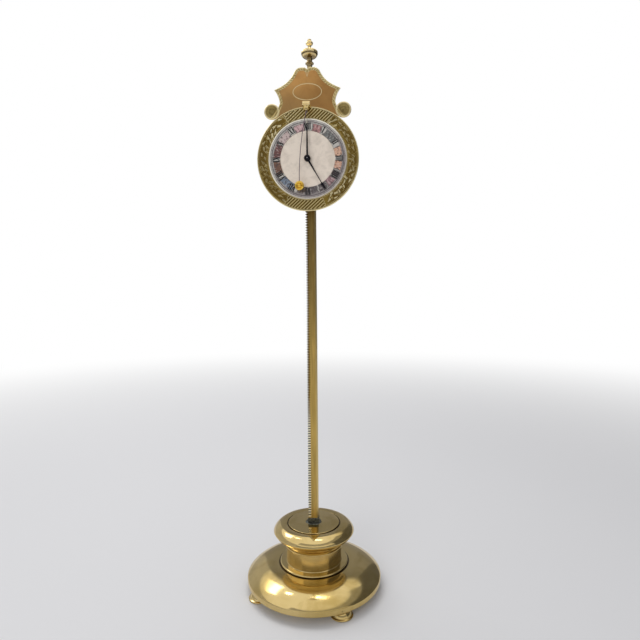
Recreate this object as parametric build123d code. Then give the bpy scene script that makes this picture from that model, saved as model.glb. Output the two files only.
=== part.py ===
from build123d import *
import math
import os

os.makedirs("parts", exist_ok=True)

# The frame: origin on the floor under the rack, +Z up, the dial faces -Y.
# Angles are read from the front, counter-clockwise from +X, unless a name says otherwise.

# Feet
foot_h = 8.1
foot_r = 11.5
foot_lip_h = 2.2
foot_ring_r = 63.0
foot_turn = 30.6
foot_count = 4

# Heavy turned base
rim_r = 72.2
rim_h = 5.4
rim_step = 0.15
dome_h = 12.2
dome_flat_r = 37.5
dome_shoulder = 28.0

# Turned column between the base and the rack
bead_r = 36.7
bead_h = 2.4
neck_r = 29.8
neck_h = 18.0
neck_ring_r = 31.6
neck_ring_h = 1.6
cove_h = 7.6
cove_top_r = 37.0
cove_hollow = 0.9
lip_r = 38.0
drum_r = 43.5
drum_low_h = 6.2
drum_high_h = 7.0
drum_top_r = 30.0
cap_r = 27.6
cap_t = 1.6
cap_groove = 0.7

# Rack socket and the rod that clamps the stand
washer_r = 8.6
washer_t = 0.4
socket_w = 11.4
socket_d = 8.6
socket_h = 5.6
socket_wall = 2.0
spigot_r = 5.6
mortice_h = 9.0
tie_rod_r = 3.5
tie_rod_grip = 5.0
rod_clearance = 0.2
tie_nut_flats = 13.0
tie_nut_h = 4.4

# Rack
rack_pitch = 2.7
rack_d = 8.0
rack_right = 5.3
rack_tooth_x = -5.3
rack_root_x = -3.1
rack_pitch_x = -4.5
rack_top_z = 540.0
rack_plain_h = 2.4
rack_tip_share = 0.2
rack_chamfer = 1.4

# Finial, stacked on the rack
stem_r = 2.6
stem_h = 8.9
collar_r = 4.1
collar_h = 2.7
waist_r = 3.0
waist_h = 3.8
tier_r = 6.8
tier_h = 3.1
bulb_r = 8.4
bulb_h = 5.8
bulb_edge_h = 1.3
throat_r = 1.85
throat_h = 3.8
knob_r = 3.65
knob_h = 4.1
tip_r = 1.8
tip_h = 2.2
finial_stud_r = 1.6
finial_stud_h = 8.0

# Dial and its place on the rack
dial_below_rack_top = 91.0
dial_z = rack_top_z - dial_below_rack_top
dial_plate_r = 50.0
dial_plate_t = 1.5
dial_front_y = -28.0
chapter_r = 38.5
chapter_in_r = 27.0
chapter_t = 0.9
chapter_bead = 0.6
chapter_bead_w = 1.3
centre_t = 0.7
dial_hole_r = 2.6
arbor_hole_r = 1.6

# Crest plate, half outline measured from the dial centre
crest_t = 1.5
crest_top = 87.5
notch_w = 6.4
notch_depth = 1.6
shoulder_x = 12.7
shoulder_z = 83.0
crest_tip_x = 32.4
crest_tip_z = 67.1
crest_waist_x = 27.1
crest_waist_z = 54.6
volute_x = 35.1
volute_z = 46.7
volute_r = 7.5
crest_foot_x = 30.0
crest_foot_z = 24.0

# Movement frame
front_plate_y = -20.5
plate_t = 1.7
train_gap = 10.5
plate_low = -24.0
plate_shoulder = 27.0
plate_high = 53.0
plate_half_w = 28.0
plate_top_half_w = 17.0
plate_corner = 3.0
pillar_r = 2.2
pillar_low = (24.0, -19.5)
pillar_high = (13.0, 48.5)
dial_foot_r = 1.8
dial_foot_low = (21.0, -17.0)
dial_foot_high = (12.0, 38.0)

# Gear train: leaves and teeth, with the module of each pair
rack_pinion_leaves = 12
great_teeth = 56
great_module = 0.6
second_teeth = 50
second_module = 0.5
third_teeth = 50
third_module = 0.45
train_leaves = 6
minute_teeth = 24
minute_leaves = 8
minute_module = 0.75
hour_teeth = 32
hour_leaves = 8
hour_module = 0.6
escape_teeth = 30
escape_r = 9.0
escape_tooth_h = 1.7
second_bearing = 12.0

# Tooth form, in modules and in shares of the tooth pitch
wheel_addendum = 0.95
leaf_addendum = 0.7
dedendum = 1.15
wheel_root_share = 0.62
wheel_tip_share = 0.2
leaf_root_share = 0.44
leaf_tip_share = 0.3
rack_leaf_root_share = 0.5
rack_leaf_tip_share = 0.12

# Arbors, pipes and their clearances
running_gap = 0.1
great_arbor_r = 1.5
great_pipe_wall = 0.7
great_pivot_r = 1.1
arbor_r = 0.75
pivot_r = 0.5
end_shake = 0.3
wheel_t = 1.2
pinion_overhang = 0.6
second_wheel_y = -14.4
third_wheel_y = -16.9
great_wheel_y = -11.7
escape_wheel_y = -11.8
escape_wheel_t = 0.8
escape_hub_r = 2.4
wheel_rim = 1.6
wheel_hub_r = 3.2
crossing_w = 1.5
crossings = 4

# Ratchet, click and click spring behind the great wheel
ratchet_y = -10.0
ratchet_t = 1.4
ratchet_r = 6.4
ratchet_teeth = 20
ratchet_tooth_h = 0.8
click_pivot_r = 9.4
click_angle = 46.0
click_hub_r = 1.5
click_tip_w = 0.7
click_gap = 0.12
click_stud_r = 0.7
click_spring_t = 0.35
click_spring_gap = 0.3
click_spring_foot_r = 1.0

# Motion work between the front plate and the dial
drive_wheel_y = -22.4
hour_wheel_y = -23.9
motion_wheel_t = 1.0
cannon_pipe_r = 1.4
cannon_bore_r = 0.9
hour_pipe_r = 2.2
centre_stud_r = 0.8

# Hands
hand_t = 0.6
hour_hand_y = -31.0
minute_hand_y = -32.9
minute_hand_l = 36.0
hour_hand_l = 33.5
hour_hand_turn = -60.0
minute_hand_turn = 90.0
hand_hub_r = 3.15
hand_hub_h = 1.7
hand_blade_w = 1.5
hand_tip_w = 0.6
hour_arrow_at = 28.0
hour_arrow_w = 2.3

# Escapement and pendulum
anchor_rise = 44.6
pallet_lift = 0.95
anchor_y = -11.8
anchor_t = 2.2
anchor_hub_r = 1.9
swing = 4.4
pendulum_y = -36.3
pendulum_l = 71.7
bob_lean = 1.6
wire_bow = 1.9
rod_r = 0.3
bob_r = 4.5
bob_t = 3.0
bob_boss_r = 1.5
bob_boss_h = 0.5
pendulum_collet_r = 1.5
pendulum_collet_t = 1.4

# Cock that carries the pendulum arbor's front pivot
cock_w = 7.3
cock_h = 3.5
cock_lip = 0.3
cock_lip_h = 1.1
cock_nose_t = 1.6
cock_front_y = -39.0
cock_above = 3.3
cock_nose_r = 1.5
cock_hole_r = 0.6

# Guides, roller and bridge behind the back plate
guide_w = 20.0
guide_h = 8.0
guide_wall = 2.4
guide_gap = 0.15
guide_chamfer = 0.6
guide_high = 44.0
guide_low = -18.0
roller_r = 4.0
roller_gap = 0.08
roller_t = 6.0
roller_stud_r = 1.2
bridge_y = 5.5
bridge_t = 1.7
bridge_half_h = 4.2
bridge_leg_r = 2.2
bridge_left_x = -19.6
bridge_right_x = 17.2


# Sizes that follow from the ones above
rim_top_z = foot_h + rim_h
dome_top_z = rim_top_z + dome_h
bead_top_z = dome_top_z + bead_h
neck_top_z = bead_top_z + neck_h
ring_top_z = neck_top_z + neck_ring_h
cove_top_z = ring_top_z + cove_h
drum_wide_z = cove_top_z + drum_low_h
drum_top_z = drum_wide_z + drum_high_h
cap_top_z = drum_top_z + cap_t - cap_groove
tie_bore_r = tie_rod_r + rod_clearance
socket_top_z = cap_top_z + socket_h
spigot_low_z = cove_top_z + running_gap
rack_foot_z = socket_top_z - mortice_h

crest_front_y = dial_front_y + dial_plate_t
crest_back_y = crest_front_y + crest_t
front_plate_back_y = front_plate_y + plate_t
back_plate_y = front_plate_back_y + train_gap
back_plate_back_y = back_plate_y + plate_t
chapter_front_y = dial_front_y - chapter_t

rack_module = rack_pitch / math.pi
rack_pinion_r = rack_module * rack_pinion_leaves / 2
pinion_x = rack_pitch_x - rack_pinion_r
great_pipe_in_r = great_arbor_r + running_gap
great_pipe_r = great_pipe_in_r + great_pipe_wall


def centre_distance(teeth, leaves, module):
    return (teeth + leaves) * module / 2


def polar(centre, radius, angle):
    turn = math.radians(angle)
    return (centre[0] + radius * math.cos(turn), centre[1] + radius * math.sin(turn))


def bearing(start, end):
    return math.degrees(math.atan2(end[1] - start[1], end[0] - start[0]))


def meeting_point(first, first_r, second, second_r):
    """The point to the right of the way from first to second, at first_r and second_r from them."""
    reach = math.dist(first, second)
    along = (first_r**2 - second_r**2 + reach**2) / (2 * reach)
    aside = math.sqrt(first_r**2 - along**2)
    foot = polar(first, along, bearing(first, second))
    return polar(foot, aside, bearing(first, second) - 90)


# Arbor places, from the dial centre. The motion work sets how far the great arbor lies from it.
motion_distance = centre_distance(minute_teeth, minute_leaves, minute_module)
dial_at = (0.0, 0.0)
great_at = (pinion_x, math.sqrt(motion_distance**2 - pinion_x**2))
second_at = polar(great_at, centre_distance(great_teeth, train_leaves, great_module), second_bearing)
anchor_at = (0.0, anchor_rise)
escape_at = (0.0, anchor_rise - escape_r * math.sqrt(2))
third_at = meeting_point(
    second_at,
    centre_distance(second_teeth, train_leaves, second_module),
    escape_at,
    centre_distance(third_teeth, train_leaves, third_module),
)


def front_view(shape):
    """Moves a flat shape drawn round the dial centre into the upright plane through the rack."""
    return Plane((0, 0, dial_z), x_dir=(1, 0, 0), z_dir=(0, -1, 0)) * shape


def slab(face, front_y, back_y):
    """A plate of that outline, drawn from the front round the dial centre, between two depths."""
    return Pos(0, back_y, 0) * extrude(front_view(face), amount=back_y - front_y)


def disc(at, radius, front_y, back_y):
    return slab(Pos(*at) * Circle(radius), front_y, back_y)


def tube(at, outer_r, inner_r, front_y, back_y):
    return slab(Pos(*at) * (Circle(outer_r) - Circle(inner_r)), front_y, back_y)


def outline(points):
    return make_face(Polyline(*points, close=True))


def turned(points):
    """A piece turned on the stand's own axis, from a profile of radius and height."""
    return revolve(Plane.XZ * outline(points), Axis.Z)


def dial_turned(points):
    """A piece turned on the dial's own axis, from a profile of radius and depth."""
    return Pos(0, 0, dial_z) * revolve(outline(points), Axis.Y)


def arc_points(start, middle, end, steps=3):
    """Points on the round arc from start through middle to end, with both ends."""
    (ax, ay), (bx, by), (cx, cy) = start, middle, end
    cross = 2 * (ax * (by - cy) + bx * (cy - ay) + cx * (ay - by))
    a2, b2, c2 = ax**2 + ay**2, bx**2 + by**2, cx**2 + cy**2
    centre = (
        (a2 * (by - cy) + b2 * (cy - ay) + c2 * (ay - by)) / cross,
        (a2 * (cx - bx) + b2 * (ax - cx) + c2 * (bx - ax)) / cross,
    )
    radius = math.dist(centre, start)
    first = bearing(centre, start)
    sweep = (bearing(centre, end) - first) % 360
    if (bearing(centre, middle) - first) % 360 > sweep:
        sweep -= 360
    return [polar(centre, radius, first + sweep * i / steps) for i in range(steps + 1)]


def quarter_points(centre, half_w, half_h, steps=4, first=0.0):
    """Points on an ellipse from the angle first, or from its outermost point, to its top."""
    start = math.radians(first)
    turns = [start + (math.pi / 2 - start) * i / steps for i in range(steps + 1)]
    return [(centre[0] + half_w * math.cos(t), centre[1] + half_h * math.sin(t)) for t in turns]


def cap_points(rim_r, rim_y, top_y, steps=2):
    """Points on a round cap from its rim to the turning axis, with its centre on that axis."""
    return arc_points((rim_r, rim_y), (0, top_y), (-rim_r, rim_y), 2 * steps)[: steps + 1]


def rod(x, y, low_z, high_z, radius):
    return Pos(x, y, low_z) * extrude(Circle(radius), amount=high_z - low_z)


def mid_layer(mid_y, thickness):
    return mid_y - thickness / 2, mid_y + thickness / 2


# Feet and base


def foot_places():
    for i in range(foot_count):
        turn = math.radians(foot_turn + i * 360 / foot_count - 90)
        yield foot_ring_r * math.cos(turn), foot_ring_r * math.sin(turn)


def bun_foot():
    lip_r = foot_r - 0.9
    half = foot_lip_h / 2
    points = [(0, 0), (lip_r - 1.2, 0), (foot_r, half), (lip_r, foot_lip_h)]
    points += arc_points((lip_r - 0.6, foot_lip_h), (lip_r - 1.8, foot_h * 0.66), (foot_r / 2, foot_h))
    return turned(points + [(0, foot_h)])


def feet():
    return Compound([Pos(x, y, 0) * bun_foot() for x, y in foot_places()])


def base_dish():
    """The heavy turned foot of the stand, with a tie rod bore and a nut's recess below."""
    shoulder = math.radians(dome_shoulder)
    half_w = (rim_r - rim_step - dome_flat_r) / math.cos(shoulder)
    half_h = dome_h / (1 - math.sin(shoulder))
    centre = (dome_flat_r, dome_top_z - half_h)
    points = [(tie_bore_r, foot_h), (rim_r, foot_h), (rim_r, rim_top_z - rim_step)]
    points += quarter_points(centre, half_w, half_h, first=dome_shoulder)
    return turned(points + [(tie_bore_r, dome_top_z)])


def bead_ring():
    bead_in = bead_r - bead_h / 2
    middle = dome_top_z + bead_h / 2
    points = [(tie_bore_r, dome_top_z), (bead_in, dome_top_z), (bead_r, middle)]
    return turned(points + [(bead_in, bead_top_z), (tie_bore_r, bead_top_z)])


def neck():
    """The straight neck with the small ring that crowns it, in one turning."""
    ring_in = neck_ring_r - neck_ring_h / 2
    middle = neck_top_z + neck_ring_h / 2
    points = [(tie_bore_r, bead_top_z), (neck_r, bead_top_z), (neck_r, neck_top_z), (ring_in, neck_top_z)]
    return turned(points + [(neck_ring_r, middle), (ring_in, ring_top_z), (tie_bore_r, ring_top_z)])


def cove_cup():
    low_r = neck_ring_r - neck_ring_h / 2
    middle = ((low_r + cove_top_r) / 2 - cove_hollow, ring_top_z + cove_h / 2)
    flank = arc_points((low_r, ring_top_z), middle, (cove_top_r, cove_top_z))
    return turned([(tie_bore_r, ring_top_z)] + flank + [(tie_bore_r, cove_top_z)])


def drum():
    bore = spigot_r + running_gap
    seat_z = cap_top_z - cap_t
    low_mid = (drum_r - 1.7, drum_wide_z - drum_low_h * 0.45)
    high_mid = (drum_r - 4.1, drum_wide_z + drum_high_h * 0.72)
    points = [(bore, cove_top_z), (lip_r, cove_top_z)]
    points += arc_points((lip_r, cove_top_z), low_mid, (drum_r, drum_wide_z), 2)[1:]
    points += arc_points((drum_r, drum_wide_z), high_mid, (drum_top_r, drum_top_z), 4)[1:]
    return turned(points + [(cap_r + cap_groove, seat_z), (bore, seat_z)])


def cap_disc():
    bore = spigot_r + running_gap
    low = cap_top_z - cap_t
    return turned([(bore, low), (cap_r, low), (cap_r, cap_top_z), (bore, cap_top_z)])


# Socket, tie rod, rack and finial


def socket_washer():
    washer = rod(0, 0, cap_top_z, cap_top_z + washer_t, washer_r)
    return washer - Pos(0, 0, cap_top_z + washer_t / 2) * Box(socket_w, socket_d, 2 * washer_t)


def tang():
    """The plain foot of the rack that stands in the socket's mortice."""
    tang_w = socket_w - 2 * socket_wall
    tang_d = socket_d - 2 * socket_wall
    return Pos(0, 0, rack_foot_z + mortice_h / 2) * Box(tang_w, tang_d, mortice_h)


def rack_socket():
    block = Pos(0, 0, cap_top_z + socket_h / 2) * Box(socket_w, socket_d, socket_h)
    block = chamfer(block.edges().group_by(Axis.Z)[-1], 0.4)
    spigot = rod(0, 0, spigot_low_z, cap_top_z, spigot_r)
    threaded = rod(0, 0, spigot_low_z, spigot_low_z + tie_rod_grip, tie_rod_r)
    return block + spigot - tang() - threaded


def tie_rod():
    low = foot_h - tie_nut_h
    return rod(0, 0, low, spigot_low_z + tie_rod_grip, tie_rod_r)


def tie_nut():
    flats = RegularPolygon(tie_nut_flats / 2, 6, major_radius=False)
    nut = Pos(0, 0, foot_h - tie_nut_h) * extrude(flats, amount=tie_nut_h)
    return nut - rod(0, 0, 0, foot_h, tie_rod_r)


def first_tooth_z():
    return socket_top_z + rack_plain_h


def tooth_count():
    return int((rack_top_z - rack_plain_h - first_tooth_z()) / rack_pitch)


def rack_bar():
    edge = [(rack_right, socket_top_z), (rack_right, rack_top_z), (rack_tooth_x, rack_top_z)]
    for i in reversed(range(tooth_count())):
        mid = first_tooth_z() + (i + 0.5) * rack_pitch
        gap_mouth = (1 - rack_tip_share) * rack_pitch / 2
        edge += [
            (rack_tooth_x, mid + gap_mouth),
            (rack_root_x, mid),
            (rack_tooth_x, mid - gap_mouth),
        ]
    edge.append((rack_tooth_x, socket_top_z))
    bar = Pos(0, rack_d / 2, 0) * extrude(Plane.XZ * outline(edge), amount=rack_d)
    right = bar.edges().filter_by(Axis.Z).sort_by(Axis.X)[-2:]
    bar = chamfer(right, rack_chamfer)
    return bar + tang() - rod(0, 0, rack_top_z - finial_stud_h, rack_top_z, finial_stud_r)


def finial():
    heights = [rack_top_z]
    for step in (stem_h, collar_h, waist_h, tier_h, bulb_h, throat_h, knob_h, tip_h):
        heights.append(heights[-1] + step)
    z0, z1, z2, z3, z4, z5, z6, z7, z8 = heights
    bulb_wide_z = z4 + bulb_edge_h
    stud_low = z0 - finial_stud_h + running_gap
    stud_in = finial_stud_r - running_gap
    ball_z = z8 - tip_r
    ball_foot_r = math.sqrt(tip_r**2 - (ball_z - z7) ** 2)
    edge = [(0, stud_low), (stud_in, stud_low), (stud_in, z0), (stem_r, z0), (stem_r, z1)]
    edge += arc_points((stem_r + 0.3, z1), (collar_r, (z1 + z2) / 2), (waist_r + 0.5, z2), 2)
    edge += [(waist_r - 0.2, (z2 + z3) / 2), (waist_r, z3)]
    edge += arc_points((waist_r + 0.4, z3), (tier_r - 0.9, z3 + tier_h * 0.35), (tier_r, z4), 2)
    edge += quarter_points((throat_r, bulb_wide_z), bulb_r - throat_r, z5 - bulb_wide_z)
    edge += [(throat_r - 0.15, (z5 + z6) / 2), (throat_r + 0.3, z6)]
    edge += arc_points((throat_r + 0.5, z6), (knob_r, z6 + knob_h * 0.42), (ball_foot_r, z7))[1:]
    edge += [(tip_r, ball_z)] + cap_points(tip_r, ball_z, z8)[1:]
    return turned(edge)


# Dial


def dial_plate():
    face = Circle(dial_plate_r) - Circle(dial_hole_r) - Pos(*anchor_at) * Circle(arbor_hole_r)
    return slab(face, dial_front_y, crest_front_y)


def crest_half():
    """The right half of the crest, a closed face from the middle line outwards."""
    top_y = crest_top
    half_notch = notch_w / 2
    lobe_x = (half_notch + shoulder_x) / 2 - 1
    edge = [
        Line((0, crest_foot_z), (0, top_y - notch_depth)),
        ThreePointArc((0, top_y - notch_depth), (half_notch * 0.45, top_y - 0.6), (half_notch, top_y)),
        Line((half_notch, top_y), (lobe_x, top_y)),
        ThreePointArc((lobe_x, top_y), (shoulder_x - 1.9, top_y - 1.8), (shoulder_x, shoulder_z)),
        Spline(
            (shoulder_x, shoulder_z),
            ((shoulder_x + crest_tip_x) / 2 - 2.4, (shoulder_z + crest_tip_z) / 2 - 1.6),
            (crest_tip_x, crest_tip_z),
            tangents=((0.5, -1), (1, -0.45)),
        ),
        ThreePointArc(
            (crest_tip_x, crest_tip_z),
            (crest_waist_x + 0.9, (crest_tip_z + crest_waist_z) / 2 - 0.9),
            (crest_waist_x, crest_waist_z),
        ),
        Line((crest_waist_x, crest_waist_z), (crest_foot_x, volute_z)),
        Line((crest_foot_x, volute_z), (crest_foot_x, crest_foot_z)),
        Line((crest_foot_x, crest_foot_z), (0, crest_foot_z)),
    ]
    return make_face(Curve() + edge)


def crest_plate():
    half = crest_half() + Pos(volute_x, volute_z) * Circle(volute_r)
    face = half + mirror(half, Plane.YZ)
    face -= Pos(*anchor_at) * Circle(arbor_hole_r)
    return slab(face, crest_front_y, crest_back_y)


def chapter_ring():
    front = chapter_front_y
    bead = chapter_bead_w
    return dial_turned(
        [
            (chapter_in_r, dial_front_y),
            (chapter_r, dial_front_y),
            (chapter_r, front),
            (chapter_r - bead * 0.3, front - chapter_bead),
            (chapter_r - bead, front),
            (chapter_in_r, front),
        ]
    )


def dial_centre():
    return tube(dial_at, chapter_in_r, dial_hole_r, dial_front_y - centre_t, dial_front_y)


# Movement frame


def corner_places(place):
    return [(side * place[0], place[1]) for side in (-1, 1)]


def pillar_places():
    return corner_places(pillar_low) + corner_places(pillar_high)


def dial_foot_places():
    return corner_places(dial_foot_low) + corner_places(dial_foot_high)


def plate_outline():
    half = [
        (plate_half_w, plate_low),
        (plate_half_w, plate_shoulder - 9),
        (plate_top_half_w, plate_shoulder + 9),
        (plate_top_half_w, plate_high),
    ]
    face = outline(half + [(-x, z) for x, z in reversed(half)])
    return chamfer(face.vertices(), plate_corner)


def pivot_holes():
    return [(at, pivot_r + running_gap) for at in (second_at, third_at, escape_at)]


def drilled(face, holes):
    for at, radius in holes:
        face -= Pos(*at) * Circle(radius)
    return face


def front_plate():
    holes = pivot_holes() + [
        (great_at, great_pipe_r + running_gap),
        (anchor_at, arbor_hole_r),
    ]
    return slab(drilled(plate_outline(), holes), front_plate_y, front_plate_back_y)


def back_plate():
    holes = pivot_holes() + [
        (great_at, great_arbor_r + running_gap),
        (anchor_at, pivot_r + running_gap),
    ]
    return slab(drilled(plate_outline(), holes), back_plate_y, back_plate_back_y)


def pillars():
    return Compound(
        [disc(at, pillar_r, front_plate_back_y, back_plate_y) for at in pillar_places()]
    )


def dial_feet():
    solids = []
    for at in dial_foot_places():
        seat_y = crest_back_y if at[1] > crest_foot_z else crest_front_y
        solids.append(disc(at, dial_foot_r, seat_y, front_plate_y))
    return Compound(solids)


def centre_stud():
    return disc(dial_at, centre_stud_r, minute_hand_y - hand_t / 2, front_plate_y)


# Toothed wheels


def toothed(teeth, root_r, tip_r, root_share, tip_share, turn):
    """Outline of a wheel with one tooth centred on the angle turn."""
    step = 360 / teeth
    points = []
    for i in range(teeth):
        middle = turn + i * step
        points += [
            polar(dial_at, root_r, middle - root_share * step / 2),
            polar(dial_at, tip_r, middle - tip_share * step / 2),
            polar(dial_at, tip_r, middle + tip_share * step / 2),
            polar(dial_at, root_r, middle + root_share * step / 2),
        ]
    return outline(points)


def wheel_face(teeth, module, turn):
    pitch_r = teeth * module / 2
    return toothed(
        teeth,
        pitch_r - dedendum * module,
        pitch_r + wheel_addendum * module,
        wheel_root_share,
        wheel_tip_share,
        turn,
    )


def leaf_face(leaves, module, turn, root_share=leaf_root_share, tip_share=leaf_tip_share):
    pitch_r = leaves * module / 2
    return toothed(
        leaves,
        pitch_r - dedendum * module,
        pitch_r + leaf_addendum * module,
        root_share,
        tip_share,
        turn,
    )


def crossed_out(face, rim_in_r, hub_r):
    """Cuts the windows that leave a wheel its spokes."""
    step = 360 / crossings
    spoke = math.degrees(crossing_w / 2 / rim_in_r)
    hub_spoke = math.degrees(crossing_w / 2 / hub_r)
    for i in range(crossings):
        rim = [spoke + (step - 2 * spoke) * k / 3 + i * step for k in range(4)]
        hub = [(i + 1) * step - hub_spoke, i * step + hub_spoke]
        points = [polar(dial_at, rim_in_r, a) for a in rim] + [polar(dial_at, hub_r, a) for a in hub]
        face -= outline(points)
    return face


def meshed_turn(teeth, turn, leaves, at, other_at):
    """The turn at which a wheel at other_at meshes with one at at that has a tooth on turn."""
    line = bearing(at, other_at)
    past = (line - turn) * teeth / 360
    return line + 180 - (0.5 - past) * 360 / leaves


def rack_pinion_turn():
    """The leaf turn that meshes with the rack's nearest tooth, which stands right of the arbor."""
    height = dial_z + great_at[1] - first_tooth_z()
    past = height / rack_pitch % 1
    return (0.5 - past) * 360 / rack_pinion_leaves


great_turn = 0.0
second_leaf_turn = meshed_turn(great_teeth, great_turn, train_leaves, great_at, second_at)
second_turn = 0.0
third_leaf_turn = meshed_turn(second_teeth, second_turn, train_leaves, second_at, third_at)
third_turn = 0.0
escape_leaf_turn = meshed_turn(third_teeth, third_turn, train_leaves, third_at, escape_at)
drive_turn = 0.0
cannon_turn = meshed_turn(minute_teeth, drive_turn, minute_leaves, great_at, dial_at)
hour_leaf_turn = 0.0
hour_turn = meshed_turn(hour_leaves, hour_leaf_turn, hour_teeth, great_at, dial_at)


def train_wheel(at, teeth, module, turn, mid_y, bore_r):
    rim_in_r = (teeth * module) / 2 - dedendum * module - wheel_rim
    face = crossed_out(wheel_face(teeth, module, turn), rim_in_r, wheel_hub_r) - Circle(bore_r)
    return slab(Pos(*at) * face, *mid_layer(mid_y, wheel_t))


def train_arbor(at, leaves, module, turn, driver_y):
    """An arbor with its pinion at the driving wheel, and the pivots that run in the plates."""
    pinion_front, pinion_back = mid_layer(driver_y, wheel_t + 2 * pinion_overhang)
    piece = slab(Pos(*at) * leaf_face(leaves, module, turn), pinion_front, pinion_back)
    low, high = front_plate_back_y + end_shake, back_plate_y - end_shake
    piece += disc(at, arbor_r, low, high)
    return piece + disc(at, pivot_r, front_plate_y + end_shake, back_plate_back_y - end_shake)


# Great arbor, great wheel, click


def great_arbor():
    half_face = rack_d / 2 + 0.2
    front = drive_wheel_y + motion_wheel_t / 2 - running_gap
    leaves = leaf_face(
        rack_pinion_leaves, rack_module, rack_pinion_turn(), rack_leaf_root_share, rack_leaf_tip_share
    )
    arbor = slab(Pos(*great_at) * leaves, -half_face, half_face)
    arbor += disc(great_at, great_arbor_r, front, half_face)
    return arbor + disc(great_at, great_pivot_r, half_face, bridge_y + bridge_t)


def ratchet_wheel():
    step = 360 / ratchet_teeth
    points = []
    for i in range(ratchet_teeth):
        points.append(polar(great_at, ratchet_r - ratchet_tooth_h, i * step))
        points.append(polar(great_at, ratchet_r, (i + 1) * step))
    face = outline(points) - Pos(*great_at) * Circle(great_arbor_r)
    return slab(face, *mid_layer(ratchet_y, ratchet_t))


def great_wheel():
    """A plain toothed disc with the click's stud, on a pipe that runs through the front plate."""
    half = wheel_t / 2
    face = wheel_face(great_teeth, great_module, great_turn) - Circle(great_pipe_in_r)
    wheel = slab(Pos(*great_at) * face, great_wheel_y - half, great_wheel_y + half)
    pipe_front = drive_wheel_y - motion_wheel_t / 2 + running_gap
    pipe = tube(great_at, great_pipe_r, great_pipe_in_r, pipe_front, great_wheel_y - half)
    ratchet_back = mid_layer(ratchet_y, ratchet_t)[1]
    return wheel + pipe + disc(click_pivot(), click_stud_r, great_wheel_y + half, ratchet_back)


def click_tooth_angle():
    """The ratchet tooth that holds the click is the one nearest to the top of the wheel."""
    return round(60 / (360 / ratchet_teeth)) * 360 / ratchet_teeth


def click_pivot():
    return polar(great_at, click_pivot_r, click_tooth_angle() + click_angle)


def click():
    tip_turn = click_tooth_angle()
    gap_turn = math.degrees(click_gap / ratchet_r)
    inner = polar(great_at, ratchet_r - ratchet_tooth_h + click_gap + 0.1, tip_turn + gap_turn)
    outer = polar(great_at, ratchet_r + click_tip_w, tip_turn + gap_turn)
    past_next_tooth = polar(great_at, ratchet_r + 2 * click_gap, tip_turn + 360 / ratchet_teeth)
    pivot = click_pivot()
    way = bearing(pivot, inner)
    root_r = (click_hub_r + click_stud_r + running_gap) / 2
    upper = polar(pivot, root_r, way + 75)
    lower = polar(pivot, root_r, way - 75)
    arm = outline([inner, outer, upper, lower, past_next_tooth])
    shape = arm + Pos(*pivot) * Circle(click_hub_r)
    shape -= Pos(*pivot) * Circle(click_stud_r + running_gap)
    return slab(shape, *mid_layer(ratchet_y, ratchet_t - 2 * running_gap))


# Motion work and hands


def motion_drive():
    """Minute drive wheel and hour pinion in one piece, friction-tight on the great wheel's pipe."""
    half = motion_wheel_t / 2
    wheel = Pos(*great_at) * wheel_face(minute_teeth, minute_module, drive_turn)
    piece = slab(wheel, drive_wheel_y - half, drive_wheel_y + half)
    leaves = Pos(*great_at) * leaf_face(hour_leaves, hour_module, hour_leaf_turn)
    piece += slab(leaves, hour_wheel_y - half - 0.1, drive_wheel_y)
    bore_front = drive_wheel_y - half
    return piece - disc(great_at, great_pipe_r, bore_front + 0.05, drive_wheel_y + half)


def cannon_pinion():
    half = motion_wheel_t / 2
    leaves = leaf_face(minute_leaves, minute_module, cannon_turn)
    piece = slab(leaves, drive_wheel_y - half - 0.15, front_plate_y - 0.7)
    piece += disc(dial_at, cannon_pipe_r, minute_hand_y - hand_t, drive_wheel_y)
    return piece - disc(dial_at, cannon_bore_r, minute_hand_y - 2 * hand_t, front_plate_y)


def hour_wheel():
    half = motion_wheel_t / 2
    bore = cannon_pipe_r + running_gap
    wheel = wheel_face(hour_teeth, hour_module, hour_turn)
    piece = slab(wheel, hour_wheel_y - half, hour_wheel_y + half)
    piece += disc(dial_at, hour_pipe_r, hour_hand_y - hand_t, hour_wheel_y)
    return piece - disc(dial_at, bore, hour_hand_y - 2 * hand_t, hour_wheel_y + half)


def minute_hand():
    blade = [
        (0, -hand_blade_w / 2),
        (minute_hand_l, -hand_tip_w / 4),
        (minute_hand_l, hand_tip_w / 4),
        (0, hand_blade_w / 2),
    ]
    face = outline(blade) + Circle(hand_hub_r - 0.5) - Circle(cannon_pipe_r)
    face = Rot(0, 0, minute_hand_turn) * face
    return slab(face, *mid_layer(minute_hand_y, hand_t))


def hour_hand():
    arrow_back = hour_arrow_at - 1.2
    half = [
        (0, hand_blade_w * 0.6),
        (arrow_back, hand_tip_w),
        (hour_arrow_at, hour_arrow_w / 2),
        (hour_arrow_at + 2.4, hand_tip_w),
        (hour_hand_l, 0.12),
    ]
    face = outline(half + [(x, -w) for x, w in reversed(half)])
    face = face + Circle(hand_hub_r) - Circle(hour_pipe_r)
    face = Rot(0, 0, hour_hand_turn) * face
    return slab(face, *mid_layer(hour_hand_y, hand_t))


def hand_nut():
    """Domed nut over the hands, turned on the dial axis: profile points are radius and depth."""
    back = minute_hand_y - hand_t / 2
    front = back - hand_hub_h
    nut = dial_turned([(0, back), (hand_hub_r, back)] + cap_points(hand_hub_r, back - 0.3, front))
    return nut - disc(dial_at, cannon_pipe_r, minute_hand_y - hand_t, back)


# Escapement and pendulum


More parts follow.
